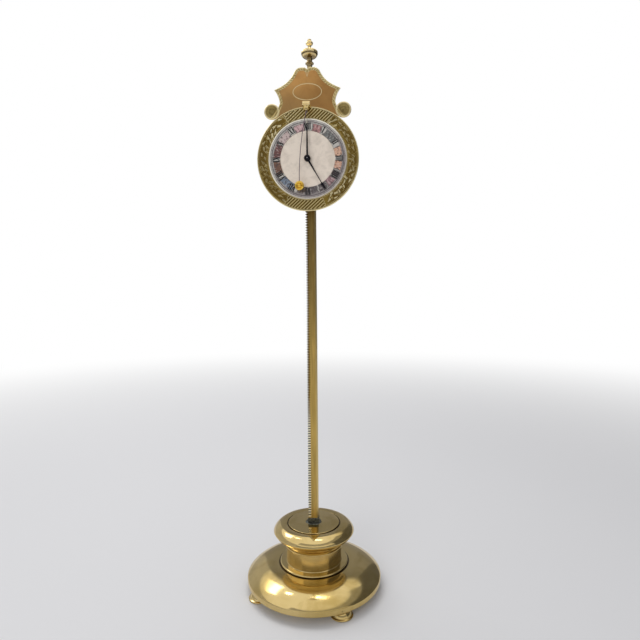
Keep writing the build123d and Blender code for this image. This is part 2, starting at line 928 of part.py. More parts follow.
def escape_wheel():
    """Pointed teeth that lean into their clockwise turn."""
    step = 360 / escape_teeth
    points = []
    for i in range(escape_teeth):
        tip = i * step
        points.append(polar(dial_at, escape_r, tip))
        points.append(polar(dial_at, escape_r, tip + 0.08 * step))
        points.append(polar(dial_at, escape_r - escape_tooth_h, tip + 0.62 * step))
        points.append(polar(dial_at, escape_r - escape_tooth_h, tip + 0.95 * step))
    rim_in_r = escape_r - escape_tooth_h - 1.1
    face = crossed_out(outline(points), rim_in_r, escape_hub_r) - Circle(arbor_r)
    return slab(Pos(*escape_at) * face, *mid_layer(escape_wheel_y, escape_wheel_t))


def hanging(shape):
    """Turns a piece drawn about the pendulum's arbor to where the pendulum stands at rest."""
    return Pos(*anchor_at) * Rot(0, 0, -swing) * shape


def anchor():
    reach = escape_r + pallet_lift
    tip = (reach * math.sin(math.pi / 4), escape_r * math.sqrt(2) - reach * math.cos(math.pi / 4))
    half = [
        (0, 1.9),
        (2.6, 1.2),
        (tip[0] + 1.9, -tip[1] + 2.2),
        (tip[0] + 1.5, -tip[1] + 0.4),
        (tip[0], -tip[1]),
        (tip[0] + 0.1, -tip[1] + 1.6),
        (3.0, -1.4),
        (0, -1.9),
    ]
    face = outline(half + [(-x, z) for x, z in reversed(half[1:-1])])
    face = face + Circle(anchor_hub_r) - Circle(arbor_r)
    return slab(hanging(face), *mid_layer(anchor_y, anchor_t))


def pendulum_arbor():
    nose_back = cock_front_y + cock_nose_t
    piece = disc(anchor_at, arbor_r, nose_back + end_shake, back_plate_y - end_shake)
    return piece + disc(anchor_at, pivot_r, cock_front_y + end_shake, back_plate_back_y - end_shake)


def bob_at():
    return polar(anchor_at, pendulum_l, -90 - swing - bob_lean)


def pendulum_wire():
    """The bent wire, from inside the collet to a little way inside the bob."""
    start = polar(anchor_at, arbor_r + 0.2, -90 - swing - bob_lean)
    end = polar(bob_at(), bob_r - 0.6, 90 - wire_end_lean())
    middle = ((start[0] + end[0]) / 2, (start[1] + end[1]) / 2)
    bent = polar(middle, wire_bow, 180 - swing - bob_lean)
    course = front_view(ThreePointArc(start, bent, end))
    return Pos(0, pendulum_y, 0) * sweep(Plane(course @ 0, z_dir=course % 0) * Circle(rod_r), path=course)


def wire_end_lean():
    """How far from upright the bent wire stands where it enters the bob."""
    half_l = (pendulum_l - bob_r - arbor_r) / 2
    return swing + bob_lean - math.degrees(2 * math.atan(wire_bow / half_l))


def pendulum_rod():
    half = pendulum_collet_t / 2
    collet = disc(anchor_at, pendulum_collet_r, pendulum_y - half, pendulum_y + half)
    collet -= disc(anchor_at, arbor_r, pendulum_y - half, pendulum_y + half)
    return collet + pendulum_wire()


def pendulum_bob():
    """A lens with a small boss, turned on an axis that runs front to back."""
    half = bob_t / 2
    boss_y = -half - bob_boss_h
    edge = [(0, boss_y), (bob_boss_r, boss_y), (bob_boss_r, -half)]
    edge += arc_points((bob_boss_r, -half), (bob_r * 0.78, -half * 0.62), (bob_r, 0), 2)[1:]
    edge += cap_points(bob_r, 0, half)[1:]
    x, z = bob_at()
    bob = Pos(x, pendulum_y, dial_z + z) * revolve(outline(edge), Axis.Y)
    return bob - pendulum_wire()


def pendulum_cock():
    """Block on the crest that reaches forward, with a tapering nose for the front pivot."""
    low = anchor_rise + cock_above
    face = Pos(0, low + cock_h / 2) * Rectangle(cock_w, cock_h)
    block = slab(face, cock_front_y, crest_front_y)
    block -= disc(dial_at, dial_plate_r + running_gap, dial_front_y, crest_front_y)
    lip = Pos(0, low + cock_lip_h / 2) * Rectangle(cock_w + 2 * cock_lip, cock_lip_h)
    block += slab(lip, cock_front_y - cock_lip, cock_front_y + cock_nose_t)
    half = cock_w / 2 - 0.8
    nose = outline([(-half, low), (half, low), (cock_nose_r, anchor_rise), (-cock_nose_r, anchor_rise)])
    nose = nose + Pos(*anchor_at) * Circle(cock_nose_r) - Pos(*anchor_at) * Circle(cock_hole_r)
    return block + slab(nose, cock_front_y, cock_front_y + cock_nose_t)


# Guides, roller and bridge on the back of the movement


def rack_guide(middle):
    """A block on the back plate with a slot in which the rack stands."""
    back_y = guide_back_y()
    mid_y = (back_plate_back_y + back_y) / 2
    block = Pos(0, mid_y, dial_z + middle) * Box(guide_w, back_y - back_plate_back_y, guide_h)
    block = chamfer(block.edges().filter_by(Axis.Z).group_by(Axis.Y)[-1], guide_chamfer)
    slot_left = rack_tooth_x - guide_gap
    slot_right = rack_right + guide_gap
    slot = Pos((slot_left + slot_right) / 2, 0, dial_z + middle) * Box(
        slot_right - slot_left, rack_d + 2 * guide_gap, 2 * guide_h
    )
    return block - slot


def guide_back_y():
    return rack_d / 2 + guide_gap + guide_wall


def roller_at():
    return (rack_right + roller_gap + roller_r, great_at[1])


def guide_roller():
    half = roller_t / 2
    return tube(roller_at(), roller_r, roller_stud_r + running_gap, -half, half)


def roller_stud():
    return disc(roller_at(), roller_stud_r, back_plate_back_y, bridge_y)


def bridge_leg_places():
    return [(x, great_at[1]) for x in (bridge_left_x, bridge_right_x)]


def rear_bridge():
    width = bridge_right_x - bridge_left_x + 2 * bridge_half_h
    middle = ((bridge_left_x + bridge_right_x) / 2, great_at[1])
    bar = Rectangle(width, 2 * bridge_half_h)
    bar = chamfer(bar.vertices(), bridge_half_h / 2)
    face = Pos(*middle) * bar - Pos(*great_at) * Circle(great_pivot_r + running_gap)
    bridge = slab(face, bridge_y, bridge_y + bridge_t)
    for at in bridge_leg_places():
        bridge += disc(at, bridge_leg_r, back_plate_back_y, bridge_y)
    return bridge


def click_spring():
    """A thin leaf with its foot riveted to the great wheel, bearing on the click's heel."""
    pivot = click_pivot()
    outward = bearing(great_at, pivot)
    touch = polar(pivot, click_hub_r + click_spring_gap + click_spring_t / 2, outward)
    foot = polar(great_at, click_pivot_r + 1.2, click_tooth_angle() + click_angle + 38)
    middle = polar(great_at, click_pivot_r + 2.6, click_tooth_angle() + click_angle + 17)
    path = ThreePointArc(foot, middle, touch)
    leaf = trace(path, line_width=click_spring_t)
    face = leaf + Pos(*foot) * Circle(click_spring_foot_r)
    return slab(face, *mid_layer(ratchet_y, ratchet_t - 2 * running_gap))


def second_arbor():
    return train_arbor(
        second_at, train_leaves, great_module, second_leaf_turn, great_wheel_y
    )


def third_arbor():
    return train_arbor(
        third_at, train_leaves, second_module, third_leaf_turn, second_wheel_y
    )


def escape_arbor():
    return train_arbor(
        escape_at, train_leaves, third_module, escape_leaf_turn, third_wheel_y
    )


pieces = {
    "feet": feet(),
    "base_dish": base_dish(),
    "bead_ring": bead_ring(),
    "neck": neck(),
    "cove_cup": cove_cup(),
    "drum": drum(),
    "cap_disc": cap_disc(),
    "socket_washer": socket_washer(),
    "rack_socket": rack_socket(),
    "tie_rod": tie_rod(),
    "tie_nut": tie_nut(),
    "rack_bar": rack_bar(),
    "finial": finial(),
    "dial_plate": dial_plate(),
    "crest_plate": crest_plate(),
    "chapter_ring": chapter_ring(),
    "dial_centre": dial_centre(),
    "dial_feet": dial_feet(),
    "front_plate": front_plate(),
    "back_plate": back_plate(),
    "pillars": pillars(),
    "centre_stud": centre_stud(),
    "pendulum_cock": pendulum_cock(),
    "upper_rack_guide": rack_guide(guide_high),
    "lower_rack_guide": rack_guide(guide_low),
    "rear_bridge": rear_bridge(),
    "roller_stud": roller_stud(),
    "guide_roller": guide_roller(),
    "great_arbor": great_arbor(),
    "ratchet_wheel": ratchet_wheel(),
    "great_wheel": great_wheel(),
    "click": click(),
    "click_spring": click_spring(),
    "motion_drive": motion_drive(),
    "cannon_pinion": cannon_pinion(),
    "hour_wheel": hour_wheel(),
    "minute_hand": minute_hand(),
    "hour_hand": hour_hand(),
    "hand_nut": hand_nut(),
    "second_arbor": second_arbor(),
    "second_wheel": train_wheel(
        second_at, second_teeth, second_module, second_turn, second_wheel_y, arbor_r
    ),
    "third_arbor": third_arbor(),
    "third_wheel": train_wheel(
        third_at, third_teeth, third_module, third_turn, third_wheel_y, arbor_r
    ),
    "escape_arbor": escape_arbor(),
    "escape_wheel": escape_wheel(),
    "anchor": anchor(),
    "pendulum_arbor": pendulum_arbor(),
    "pendulum_rod": pendulum_rod(),
    "pendulum_bob": pendulum_bob(),
}

for name, shape in pieces.items():
    export_step(shape, f"parts/{name}.step")

print("great arbor", great_at, "second", second_at, "third", third_at, "escape", escape_at)
print("roller", roller_at(), "click pivot", click_pivot())
print("teeth on the rack", tooth_count())
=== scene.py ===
import math
import random

import bmesh
import bpy
import numpy as np
from mathutils import Matrix, Vector
from mathutils.geometry import delaunay_2d_cdt
from mathutils.kdtree import KDTree


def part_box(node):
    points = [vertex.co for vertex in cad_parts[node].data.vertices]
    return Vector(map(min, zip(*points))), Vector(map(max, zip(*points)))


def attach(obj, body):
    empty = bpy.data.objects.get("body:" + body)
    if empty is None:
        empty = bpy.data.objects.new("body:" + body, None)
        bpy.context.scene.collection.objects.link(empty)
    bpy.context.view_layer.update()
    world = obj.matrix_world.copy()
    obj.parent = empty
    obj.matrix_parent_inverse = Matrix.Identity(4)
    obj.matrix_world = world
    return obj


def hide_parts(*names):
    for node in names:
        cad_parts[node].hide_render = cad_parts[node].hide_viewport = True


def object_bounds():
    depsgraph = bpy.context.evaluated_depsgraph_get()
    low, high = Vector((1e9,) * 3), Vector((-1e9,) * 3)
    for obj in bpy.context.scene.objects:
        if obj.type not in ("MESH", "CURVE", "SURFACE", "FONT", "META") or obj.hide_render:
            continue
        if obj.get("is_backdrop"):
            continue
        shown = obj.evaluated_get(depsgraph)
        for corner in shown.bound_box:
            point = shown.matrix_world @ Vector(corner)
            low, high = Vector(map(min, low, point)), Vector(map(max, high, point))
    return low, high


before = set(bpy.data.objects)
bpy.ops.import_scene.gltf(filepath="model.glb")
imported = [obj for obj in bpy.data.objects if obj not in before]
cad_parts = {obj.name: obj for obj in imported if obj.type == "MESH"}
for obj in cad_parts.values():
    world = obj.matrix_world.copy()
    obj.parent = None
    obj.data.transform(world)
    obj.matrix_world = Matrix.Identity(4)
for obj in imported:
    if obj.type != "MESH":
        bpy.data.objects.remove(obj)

bl_info = {
    "name": "Rack clock",
    "version": (1, 0, 0),
    "blender": (4, 5, 0),
    "location": "3D View > Sidebar > Clock",
    "description": "Turned brass stand, toothed rack and engraved dial of a gravity clock",
    "category": "Object",
}

MM = 0.001
cad_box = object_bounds()
dial_low, dial_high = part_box("dial_plate")
DIAL_Z = (dial_low.z + dial_high.z) / 2
DIAL_CENTRE = (0.0, DIAL_Z)
PLATE_FRONT = dial_low.y
CREST_FRONT, CREST_BACK = [corner.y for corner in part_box("crest_plate")]
RACK_RIGHT, RACK_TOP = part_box("rack_bar")[1].x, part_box("rack_bar")[1].z

# The camera stands this far to the right of the dial's front, in degrees.
CAMERA_SIDE = 5.5
CAMERA_BEARING = CAMERA_SIDE - 90.0


# Sizes and colours


def length(name, description, default, lowest=0.0):
    return bpy.props.FloatProperty(
        name=name, description=description, default=default, min=lowest, unit="LENGTH", precision=5
    )


def colour(name, description, default):
    return bpy.props.FloatVectorProperty(
        name=name, description=description, default=default, size=3, min=0.0, max=1.0, subtype="COLOR"
    )


class StandSizes(bpy.types.PropertyGroup):
    foot_radius: length("Foot radius", "Widest radius of a bun foot", 11.5 * MM)
    foot_ring: length("Foot ring", "Radius of the circle the feet stand on", 63.0 * MM)
    rim_radius: length("Rim radius", "Radius of the base's upright rim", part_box("base_dish")[1].x)
    dome_flat: length("Dome top", "Radius at which the dome meets the bead", 37.5 * MM)
    drum_radius: length("Drum radius", "Widest radius of the drum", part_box("drum")[1].x)
    cap_radius: length("Cap radius", "Radius of the disc on the drum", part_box("cap_disc")[1].x)
    edge: length("Edge", "How far a turned edge is eased", 0.35 * MM)
    rack_pitch: length("Rack pitch", "Height of one tooth of the rack with its gap", 2.7 * MM)
    rack_root: length("Rack root", "Where the gaps between the teeth end", -3.1 * MM, -10 * MM)


class DialSizes(bpy.types.PropertyGroup):
    plate_radius: length("Plate radius", "Radius of the round plate", (dial_high.x - dial_low.x) / 2)
    ring_radius: length("Ring radius", "Outer radius of the chapter ring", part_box("chapter_ring")[1].x)
    centre_radius: length("Centre radius", "Radius of the white centre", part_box("dial_centre")[1].x)
    hatch_pitch: length("Hatch pitch", "Distance between the cut lines of the hatching", 2.4 * MM)
    cut_depth: length("Cut depth", "Depth of the engraving", 0.26 * MM)
    cut_grid: length("Cut grid", "Distance between the points that carry the engraving", 0.36 * MM)
    numeral_height: length("Numeral height", "Height of the hour numerals", 6.4 * MM)


class HandSizes(bpy.types.PropertyGroup):
    minute_length: length("Minute hand", "Length of the minute hand from its arbor", 36.0 * MM)
    hour_length: length("Hour hand", "Length of the hour hand from its arbor", 33.5 * MM)
    thickness: length("Thickness", "Thickness of both hands", 0.6 * MM)
    hub_radius: length("Hub radius", "Radius of the domed nut", 3.15 * MM)
    wire_radius: length("Wire radius", "Radius of the pendulum's wire", 0.35 * MM)
    wire_bow: length("Wire bow", "How far the pendulum's wire bends out to the left", 1.9 * MM)
    bob_radius: length("Bob radius", "Radius of the pendulum's bob", 4.5 * MM)


class ClockColours(bpy.types.PropertyGroup):
    brass: colour("Brass", "Polished brass where it is clean", (0.7, 0.53, 0.23))
    brass_aged: colour("Aged brass", "Brass where it has browned", (0.52, 0.37, 0.12))
    rack_olive: colour("Rack, upper", "Olive brown of the rack below the dial", (0.3, 0.2, 0.06))
    # The rack's lower gold is partly a painted reflection of the bright floor.
    rack_gold: colour("Rack, lower", "Golden brass of the rack above the drum", (0.52, 0.35, 0.1))
    plate: colour("Dial plate", "Yellow olive brass of the round plate", (0.41, 0.275, 0.06))
    # Colour of the painted highlights on the raised edges of the plate and the crest and beside their
    # cuts.
    plate_glint: colour("Bright plate", "Bright edges and burrs of the round plate", (1.0, 0.87, 0.5))
    crest: colour("Crest", "Coppery field of the crest", (0.56, 0.3, 0.1))
    silver: colour("Silvering", "Chapter ring where it is clean", (0.62, 0.59, 0.54))
    white: colour("Dial centre", "Matte warm white of the centre", (0.9, 0.79, 0.67))
    blued: colour("Blued steel", "Hands and nut", (0.012, 0.012, 0.018))
    gilt: colour("Gilt", "Fresh gilding of the pendulum's bob", (1.0, 0.68, 0.12))
    pale_gilt: colour("Pale gilt", "Worn gilding of the cock and the finial", (1.0, 0.79, 0.4))
    steel: colour("Steel", "Turned steel of the movement", (0.5, 0.5, 0.52))


class StageSizes(bpy.types.PropertyGroup):
    distance: length("Distance", "Level distance from the rack to the camera", 542 * MM)
    height: length("Height", "Height of the camera over the floor", 331.7 * MM)


# Shader maths


class Wire:
    """A socket that takes part in arithmetic: each operator adds the Math node that it needs."""

    def __init__(self, sheet, socket):
        self.sheet = sheet
        self.socket = socket

    def __add__(self, other):
        return self.sheet.maths("ADD", self, other)

    def __radd__(self, other):
        return self.sheet.maths("ADD", other, self)

    def __sub__(self, other):
        return self.sheet.maths("SUBTRACT", self, other)

    def __rsub__(self, other):
        return self.sheet.maths("SUBTRACT", other, self)

    def __mul__(self, other):
        return self.sheet.maths("MULTIPLY", self, other)

    def __rmul__(self, other):
        return self.sheet.maths("MULTIPLY", other, self)


class Sheet:
    """A node tree, and the few ways in which this file adds nodes to it."""

    def __init__(self, tree):
        self.tree = tree

    def node(self, kind, settings=None, inputs=None, output=0):
        node = self.tree.nodes.new(kind)
        for name, value in (settings or {}).items():
            setattr(node, name, value)
        for name, value in (inputs or {}).items():
            self.feed(node.inputs[name], value)
        return Wire(self, node.outputs[output])

    def feed(self, socket, value):
        if isinstance(value, Wire):
            self.tree.links.new(value.socket, socket)
        else:
            socket.default_value = value

    def place(self):
        """The piece's own coordinates, which stay with it when it moves."""
        return self.node("ShaderNodeTexCoord", output="Object")

    def axes(self):
        place = self.place()
        return [self.node("ShaderNodeSeparateXYZ", None, {0: place}, name) for name in "XYZ"]

    def vector(self, x, y, z):
        return self.node("ShaderNodeCombineXYZ", None, {0: x, 1: y, 2: z})

    def maths(self, operation, *values):
        return self.node("ShaderNodeMath", {"operation": operation}, dict(enumerate(values)))

    def radius(self, across, up):
        return self.maths("SQRT", across * across + up * up)

    def noise(self, place, scale, detail=4.0, roughness=0.55, distortion=0.0):
        inputs = {"Vector": place, "Scale": scale, "Detail": detail}
        inputs.update({"Roughness": roughness, "Distortion": distortion})
        return self.node("ShaderNodeTexNoise", None, inputs)

    def step(self, value, low, high):
        """A mask that climbs smoothly from 0 at low to 1 at high."""
        inputs = {"Value": value, "From Min": low, "From Max": high}
        return self.node("ShaderNodeMapRange", {"interpolation_type": "SMOOTHSTEP"}, inputs)

    def window(self, value, low, high, soft):
        """A mask that is 1 from low to high and falls off softly outside them."""
        return self.step(value, low - soft, low) * (1.0 - self.step(value, high, high + soft))

    def cut(self, name):
        """A value that the mesh carries at its points or faces."""
        return self.node("ShaderNodeAttribute", {"attribute_name": name}, output="Fac")

    def mix(self, mask, first, second):
        """A colour between two colours."""
        settings = {"data_type": "RGBA"}
        first, second = [c if isinstance(c, Wire) else (*c[:3], 1.0) for c in (first, second)]
        return self.node("ShaderNodeMix", settings, {0: mask, 6: first, 7: second}, 2)

    def tint(self, base, factor):
        """A colour made darker or lighter by a value."""
        return self.node("ShaderNodeVectorMath", {"operation": "SCALE"}, {0: base, "Scale": factor})

    def bump(self, height, strength, distance):
        inputs = {"Height": height, "Strength": strength, "Distance": distance}
        return self.node("ShaderNodeBump", None, inputs, "Normal")


class Finish(Sheet):
    """A material with one Principled shader; keywords are constants or wires for its sockets."""

    def __init__(self, name):
        self.material = bpy.data.materials.new(f"{name} finish")
        self.material.use_nodes = True
        super().__init__(self.material.node_tree)
        self.shader = self.tree.nodes["Principled BSDF"]

    def set(self, **sockets):
        for name, value in sockets.items():
            self.feed(self.shader.inputs[name.replace("_", " ").title()], value)


# Finishes


def between(low, high, mask):
    """The value between two plain numbers that a mask picks."""
    return mask * (high - low) + low


def mottled(sheet, scale, edges, tones, rough, metallic=1.0, detail=4.0, share=1.0):
    """Sets two tones in soft clouds, the second one rougher, and returns the colour."""
    clouds = sheet.noise(sheet.place(), scale, detail, 0.6)
    base = sheet.mix(sheet.step(clouds, *edges) * share if edges else clouds, *tones)
    sheet.set(base_color=base, metallic=metallic, roughness=between(*rough, clouds))
    return base


def polished_brass(sheet, paint):
    """Turned brass: fine rings round the axis, browned clouds and a few dark specks."""
    place = sheet.place()
    x, y, z = sheet.axes()
    rings = sheet.noise(sheet.vector(sheet.radius(x, y), z, 0.0), 1900.0, 2.0, 0.5)
    clouds = sheet.noise(place, 34.0, 5.0, 0.6, 0.6)
    film = sheet.noise(place, 9.0, 3.0, 0.5, 0.3)
    age = sheet.step(clouds * 0.6 + film * 0.4, 0.44, 0.66)
    specks = sheet.step(sheet.noise(place, 260.0, 3.0, 0.6), 0.71, 0.76)
    base = sheet.mix(age, paint.brass, paint.brass_aged)
    base = sheet.mix(specks * 0.65, base, (0.13, 0.08, 0.03))
    # Painted near black where the mesh marks a joint or a groove.
    base = sheet.mix(sheet.step(sheet.cut("dirt"), 0.2, 0.8) * 0.9, base, (0.05, 0.03, 0.015))
    rough = between(0.09, 0.19, age) + specks * 0.2 + rings * 0.03
    sheet.set(base_color=base, metallic=1.0, roughness=rough, normal=sheet.bump(rings, 0.05, 0.1 * MM))
    sheet.set(coat_weight=0.16, coat_roughness=0.3)


def dark_socket(sheet, paint):
    """Steel socket gone grey green, with worn light blotches."""
    blotch = sheet.noise(sheet.place(), 900.0, 4.0, 0.65)
    base = sheet.mix(sheet.step(blotch, 0.4, 0.64), (0.035, 0.04, 0.032), (0.2, 0.2, 0.16))
    sheet.set(base_color=base, metallic=0.7, roughness=between(0.35, 0.6, blotch))
    sheet.set(normal=sheet.bump(blotch, 0.35, 0.2 * MM))


def rack_brass(sheet, paint):
    """Drawn brass bar, olive brown under the dial and golden towards the drum."""
    x, y, z = sheet.axes()
    streaks = sheet.noise(sheet.vector(x * 5.0, y * 5.0, z * 0.35), 260.0, 4.0, 0.6)
    bands = sheet.noise(sheet.vector(x * 2.6, y * 2.6, z * 0.12), 210.0, 2.0, 0.5)
    clouds = sheet.noise(sheet.vector(x, y, z * 0.6), 42.0, 4.0, 0.6)
    # Golden low down and olive brown higher up: partly the brass's own tone, partly a painted reflection
    # of the bright floor on the lower part.
    fade = sheet.step(z + (clouds - 0.5) * 0.16, 0.16, 0.37)
    base = sheet.mix(fade, paint.rack_gold, paint.rack_olive)
    base = sheet.mix(sheet.step(clouds, 0.5, 0.72) * 0.55, base, paint.brass_aged)
    base = sheet.tint(base, between(0.82, 1.14, streaks) * between(0.55, 1.5, bands))
    # The chamfer along the right edge is painted lighter: a painted highlight.
    slope = sheet.step(x, RACK_RIGHT - 1.7 * MM, RACK_RIGHT - 1.2 * MM)
    base = sheet.mix(slope * 0.55, base, (0.85, 0.68, 0.32))
    # Painted light on the teeth: low down the tooth fronts carry a painted highlight and the gaps and
    # flanks painted shade.
    # Higher up the flanks carry the painted highlight and the tooth fronts are painted dark.
    clean = sheet.step(z + (clouds - 0.5) * 0.06, 0.17, 0.21)
    dark = (0.02, 0.014, 0.008)
    front = sheet.mix(clean, (1.0, 0.93, 0.7), (0.12, 0.075, 0.02))
    base = sheet.mix(sheet.step(sheet.cut("tooth"), 0.2, 0.5), base, front)
    base = sheet.mix(sheet.step(sheet.cut("gap"), 0.25, 0.55) * (1.0 - clean), base, dark)
    base = sheet.mix(sheet.cut("flank"), base, sheet.mix(clean, dark, (1.0, 0.95, 0.8)))
    sheet.set(base_color=base, metallic=1.0, roughness=between(0.24, 0.42, streaks))
    sheet.set(normal=sheet.bump(streaks, 0.12, 0.2 * MM))


def dial_plate_brass(sheet, paint):
    """Engraved brass: dark wax in the cuts, painted highlights beside them and on the edges, brown clouds
    between.
    """
    place = sheet.place()
    cut, ground = sheet.cut("cut"), sheet.cut("ground")
    clouds = sheet.noise(place, 85.0, 5.0, 0.65, 0.5)
    flecks = sheet.step(sheet.noise(place, 380.0, 3.0, 0.6, 1.2), 0.56, 0.66)
    grain = sheet.noise(place, 1300.0, 2.0, 0.5)
    base = sheet.mix(sheet.step(clouds, 0.42, 0.66) * 0.6, paint.plate, (0.27, 0.18, 0.045))
    base = sheet.mix(ground * 0.8, base, (0.17, 0.105, 0.025))
    base = sheet.mix(flecks * ground * 0.6, base, (0.85, 0.68, 0.28))
    # Painted highlights beside the cuts and on the raised edges.
    base = sheet.mix(sheet.cut("burr"), base, paint.plate_glint)
    base = sheet.mix(cut * 0.9, base, (0.075, 0.045, 0.01))
    rough = between(0.25, 0.4, clouds) + cut * 0.25
    sheet.set(base_color=base, metallic=1.0, roughness=rough, normal=sheet.bump(grain, 0.15, 0.1 * MM))


def crest_brass(sheet, paint):
    """Coppery field, engraved yellow border, and light lines that are painted highlights on the edges and
    beside the cuts.
    """
    place = sheet.place()
    x, y, z = sheet.axes()
    cut = sheet.cut("cut")
    clouds = sheet.noise(place, 60.0, 5.0, 0.62, 0.4)
    grain = sheet.noise(place, 1300.0, 2.0, 0.5)
    low_left = sheet.step(0.0 - x - z * 1.1 + (DIAL_Z + 0.058) * 1.1, -0.012, 0.03)
    high_left = sheet.step(z - DIAL_Z - x * 0.6, 0.05, 0.09)
    field = sheet.mix(sheet.step(clouds, 0.4, 0.68) * 0.5, paint.crest, (0.4, 0.19, 0.06))
    field = sheet.tint(field, between(0.82, 1.3, high_left))
    field = sheet.mix(low_left * 0.45, field, (0.42, 0.29, 0.13))
    rim = sheet.mix(sheet.step(clouds, 0.35, 0.65), (0.85, 0.64, 0.26), (0.55, 0.39, 0.12))
    rim = sheet.mix(cut * 0.7, rim, (0.2, 0.12, 0.03))
    disc = sheet.mix(sheet.step(clouds, 0.4, 0.6), (0.42, 0.32, 0.12), (0.24, 0.17, 0.055))
    disc = sheet.mix(cut * 0.6, disc, (0.08, 0.05, 0.02))
    base = sheet.mix(sheet.cut("border"), sheet.mix(sheet.cut("disc"), field, disc), rim)
    # Painted highlights on the edges and beside the cuts.
    base = sheet.mix(sheet.cut("burr"), base, paint.plate_glint)
    rough = between(0.27, 0.4, clouds) + cut * 0.15
    sheet.set(base_color=base, metallic=1.0, roughness=rough, normal=sheet.bump(grain, 0.12, 0.1 * MM))


# Cells of the chapter ring: two bearings in radians, the colour and how far it covers the silver.
RING_PATCHES = (
    (1.1, 1.4, (0.52, 0.25, 0.24), 0.85),
    (1.66, 2.0, (0.78, 0.5, 0.5), 0.8),
    (2.2, 2.6, (0.85, 0.66, 0.62), 0.7),
    (2.66, 3.1, (0.2, 0.08, 0.07), 0.9),
    (-3.1, -2.64, (0.22, 0.11, 0.07), 0.9),
    (-2.52, -2.06, (0.22, 0.28, 0.36), 0.9),
    (-1.9, -1.25, (0.17, 0.15, 0.15), 0.9),
    (-1.2, -0.95, (0.15, 0.13, 0.13), 0.85),
    (-0.92, -0.62, (0.42, 0.24, 0.25), 0.85),
    (-0.58, -0.4, (0.13, 0.1, 0.1), 0.85),
    (-0.36, -0.07, (0.88, 0.5, 0.34), 0.85),
    (0.07, 0.36, (0.92, 0.55, 0.37), 0.85),
    (0.56, 0.98, (0.2, 0.21, 0.2), 0.9),
)


def silvered_ring(sheet, paint):
    """Silvered brass in coloured patches, rose, copper brown, blue grey and near black, with painted
    highlights.
    """
    x, y, z = sheet.axes()
    up = z - DIAL_Z
    radius = sheet.radius(x, up)
    bearing = sheet.maths("ARCTAN2", up, x)
    ripple = sheet.noise(sheet.vector(x, 0.0, z), 190.0, 3.0, 0.6)
    turn = bearing + (ripple - 0.5) * 0.16
    streaks = sheet.noise(sheet.vector(bearing * 30.0, radius * 500.0, 0.0), 0.62, 2.0, 0.5)
    spots = sheet.step(streaks, 0.52, 0.6)
    # Painted highlights inside the patches.
    shine = 1.0 - sheet.step(streaks, 0.37, 0.43)
    cells = paint.silver
    for low, high, shade, strength in RING_PATCHES:
        cells = sheet.mix(sheet.window(turn, low, high, 0.02) * 0.8, cells, (0.07, 0.055, 0.055))
        tone = sheet.mix(spots * 0.75, shade, (0.1, 0.075, 0.075))
        inside = sheet.window(turn, low + 0.03, high - 0.03, 0.02)
        cells = sheet.mix(inside * strength, cells, sheet.mix(shine * 0.4, tone, (0.9, 0.8, 0.76)))
    # The outer band is painted darker towards the lower right.
    low_right = sheet.step(x * 0.8 - up, -0.01, 0.025)
    plain = sheet.mix(low_right * 0.75, paint.silver, (0.34, 0.29, 0.29))
    plain = sheet.mix(sheet.step(ripple, 0.35, 0.7) * 0.6, plain, (0.36, 0.34, 0.33))
    plain = sheet.mix(spots * 0.45, plain, (0.2, 0.17, 0.17))
    for low, high, soft, strength in ((33.5, 33.9, 0.3, 0.7), (35.0, 35.5, 0.4, 0.8)):
        line = sheet.window(radius, low * MM, high * MM, soft * MM)
        plain = sheet.mix(line * strength, plain, (0.12, 0.1, 0.1))
    # A painted highlight along the outer bead, fainter towards the lower right.
    edge = sheet.step(radius, 37.1 * MM, 37.5 * MM) * (1.0 - low_right * 0.6)
    plain = sheet.mix(edge, plain, (1.0, 0.95, 0.82))
    base = sheet.mix(1.0 - sheet.step(radius, 33.4 * MM, 33.8 * MM), plain, cells)
    grain = sheet.noise(sheet.vector(x, 0.0, z), 1500.0, 2.0, 0.5)
    sheet.set(base_color=base, metallic=0.25, roughness=between(0.12, 0.24, ripple))
    sheet.set(normal=sheet.bump(grain, 0.08, 0.1 * MM))


def dial_white(sheet, paint):
    """Matte white with warm clouds and a few faint grey marks."""
    place = sheet.place()
    clouds = sheet.noise(place, 120.0, 5.0, 0.65, 0.4)
    marks = sheet.step(sheet.noise(place, 330.0, 3.0, 0.6), 0.68, 0.76)
    base = sheet.mix(sheet.step(clouds, 0.4, 0.7) * 0.8, paint.white, (0.7, 0.61, 0.51))
    base = sheet.mix(marks * 0.4, base, (0.3, 0.27, 0.24))
    sheet.set(base_color=base, roughness=between(0.5, 0.7, clouds))
    sheet.set(normal=sheet.bump(clouds, 0.2, 0.2 * MM))


def blued_steel(sheet, paint):
    """Blued nearly black; returns its colour."""
    return mottled(sheet, 420.0, None, (paint.blued, (0.012, 0.011, 0.014)), (0.18, 0.34), 0.95, 3.0)


def minute_steel(sheet, paint):
    """Blued like the other hand, with a light tip."""
    base = blued_steel(sheet, paint)
    tip = sheet.step(sheet.axes()[2], DIAL_Z + 32.2 * MM, DIAL_Z + 33.4 * MM)
    sheet.set(base_color=sheet.mix(tip, base, (0.7, 0.63, 0.52)))


def wire_steel(sheet, paint):
    """Drawn wire with a mauve temper film."""
    x, y, z = sheet.axes()
    film = sheet.noise(sheet.vector(x, y, z * 0.3), 300.0, 3.0, 0.5)
    base = sheet.mix(film, (0.15, 0.1, 0.13), (0.26, 0.19, 0.22))
    sheet.set(base_color=base, metallic=0.8, roughness=between(0.25, 0.4, film))


def gilt(sheet, paint):
    """Yellow gilding with browner clouds."""
    mottled(sheet, 220.0, (0.45, 0.7), (paint.gilt, (0.62, 0.36, 0.05)), (0.14, 0.3))


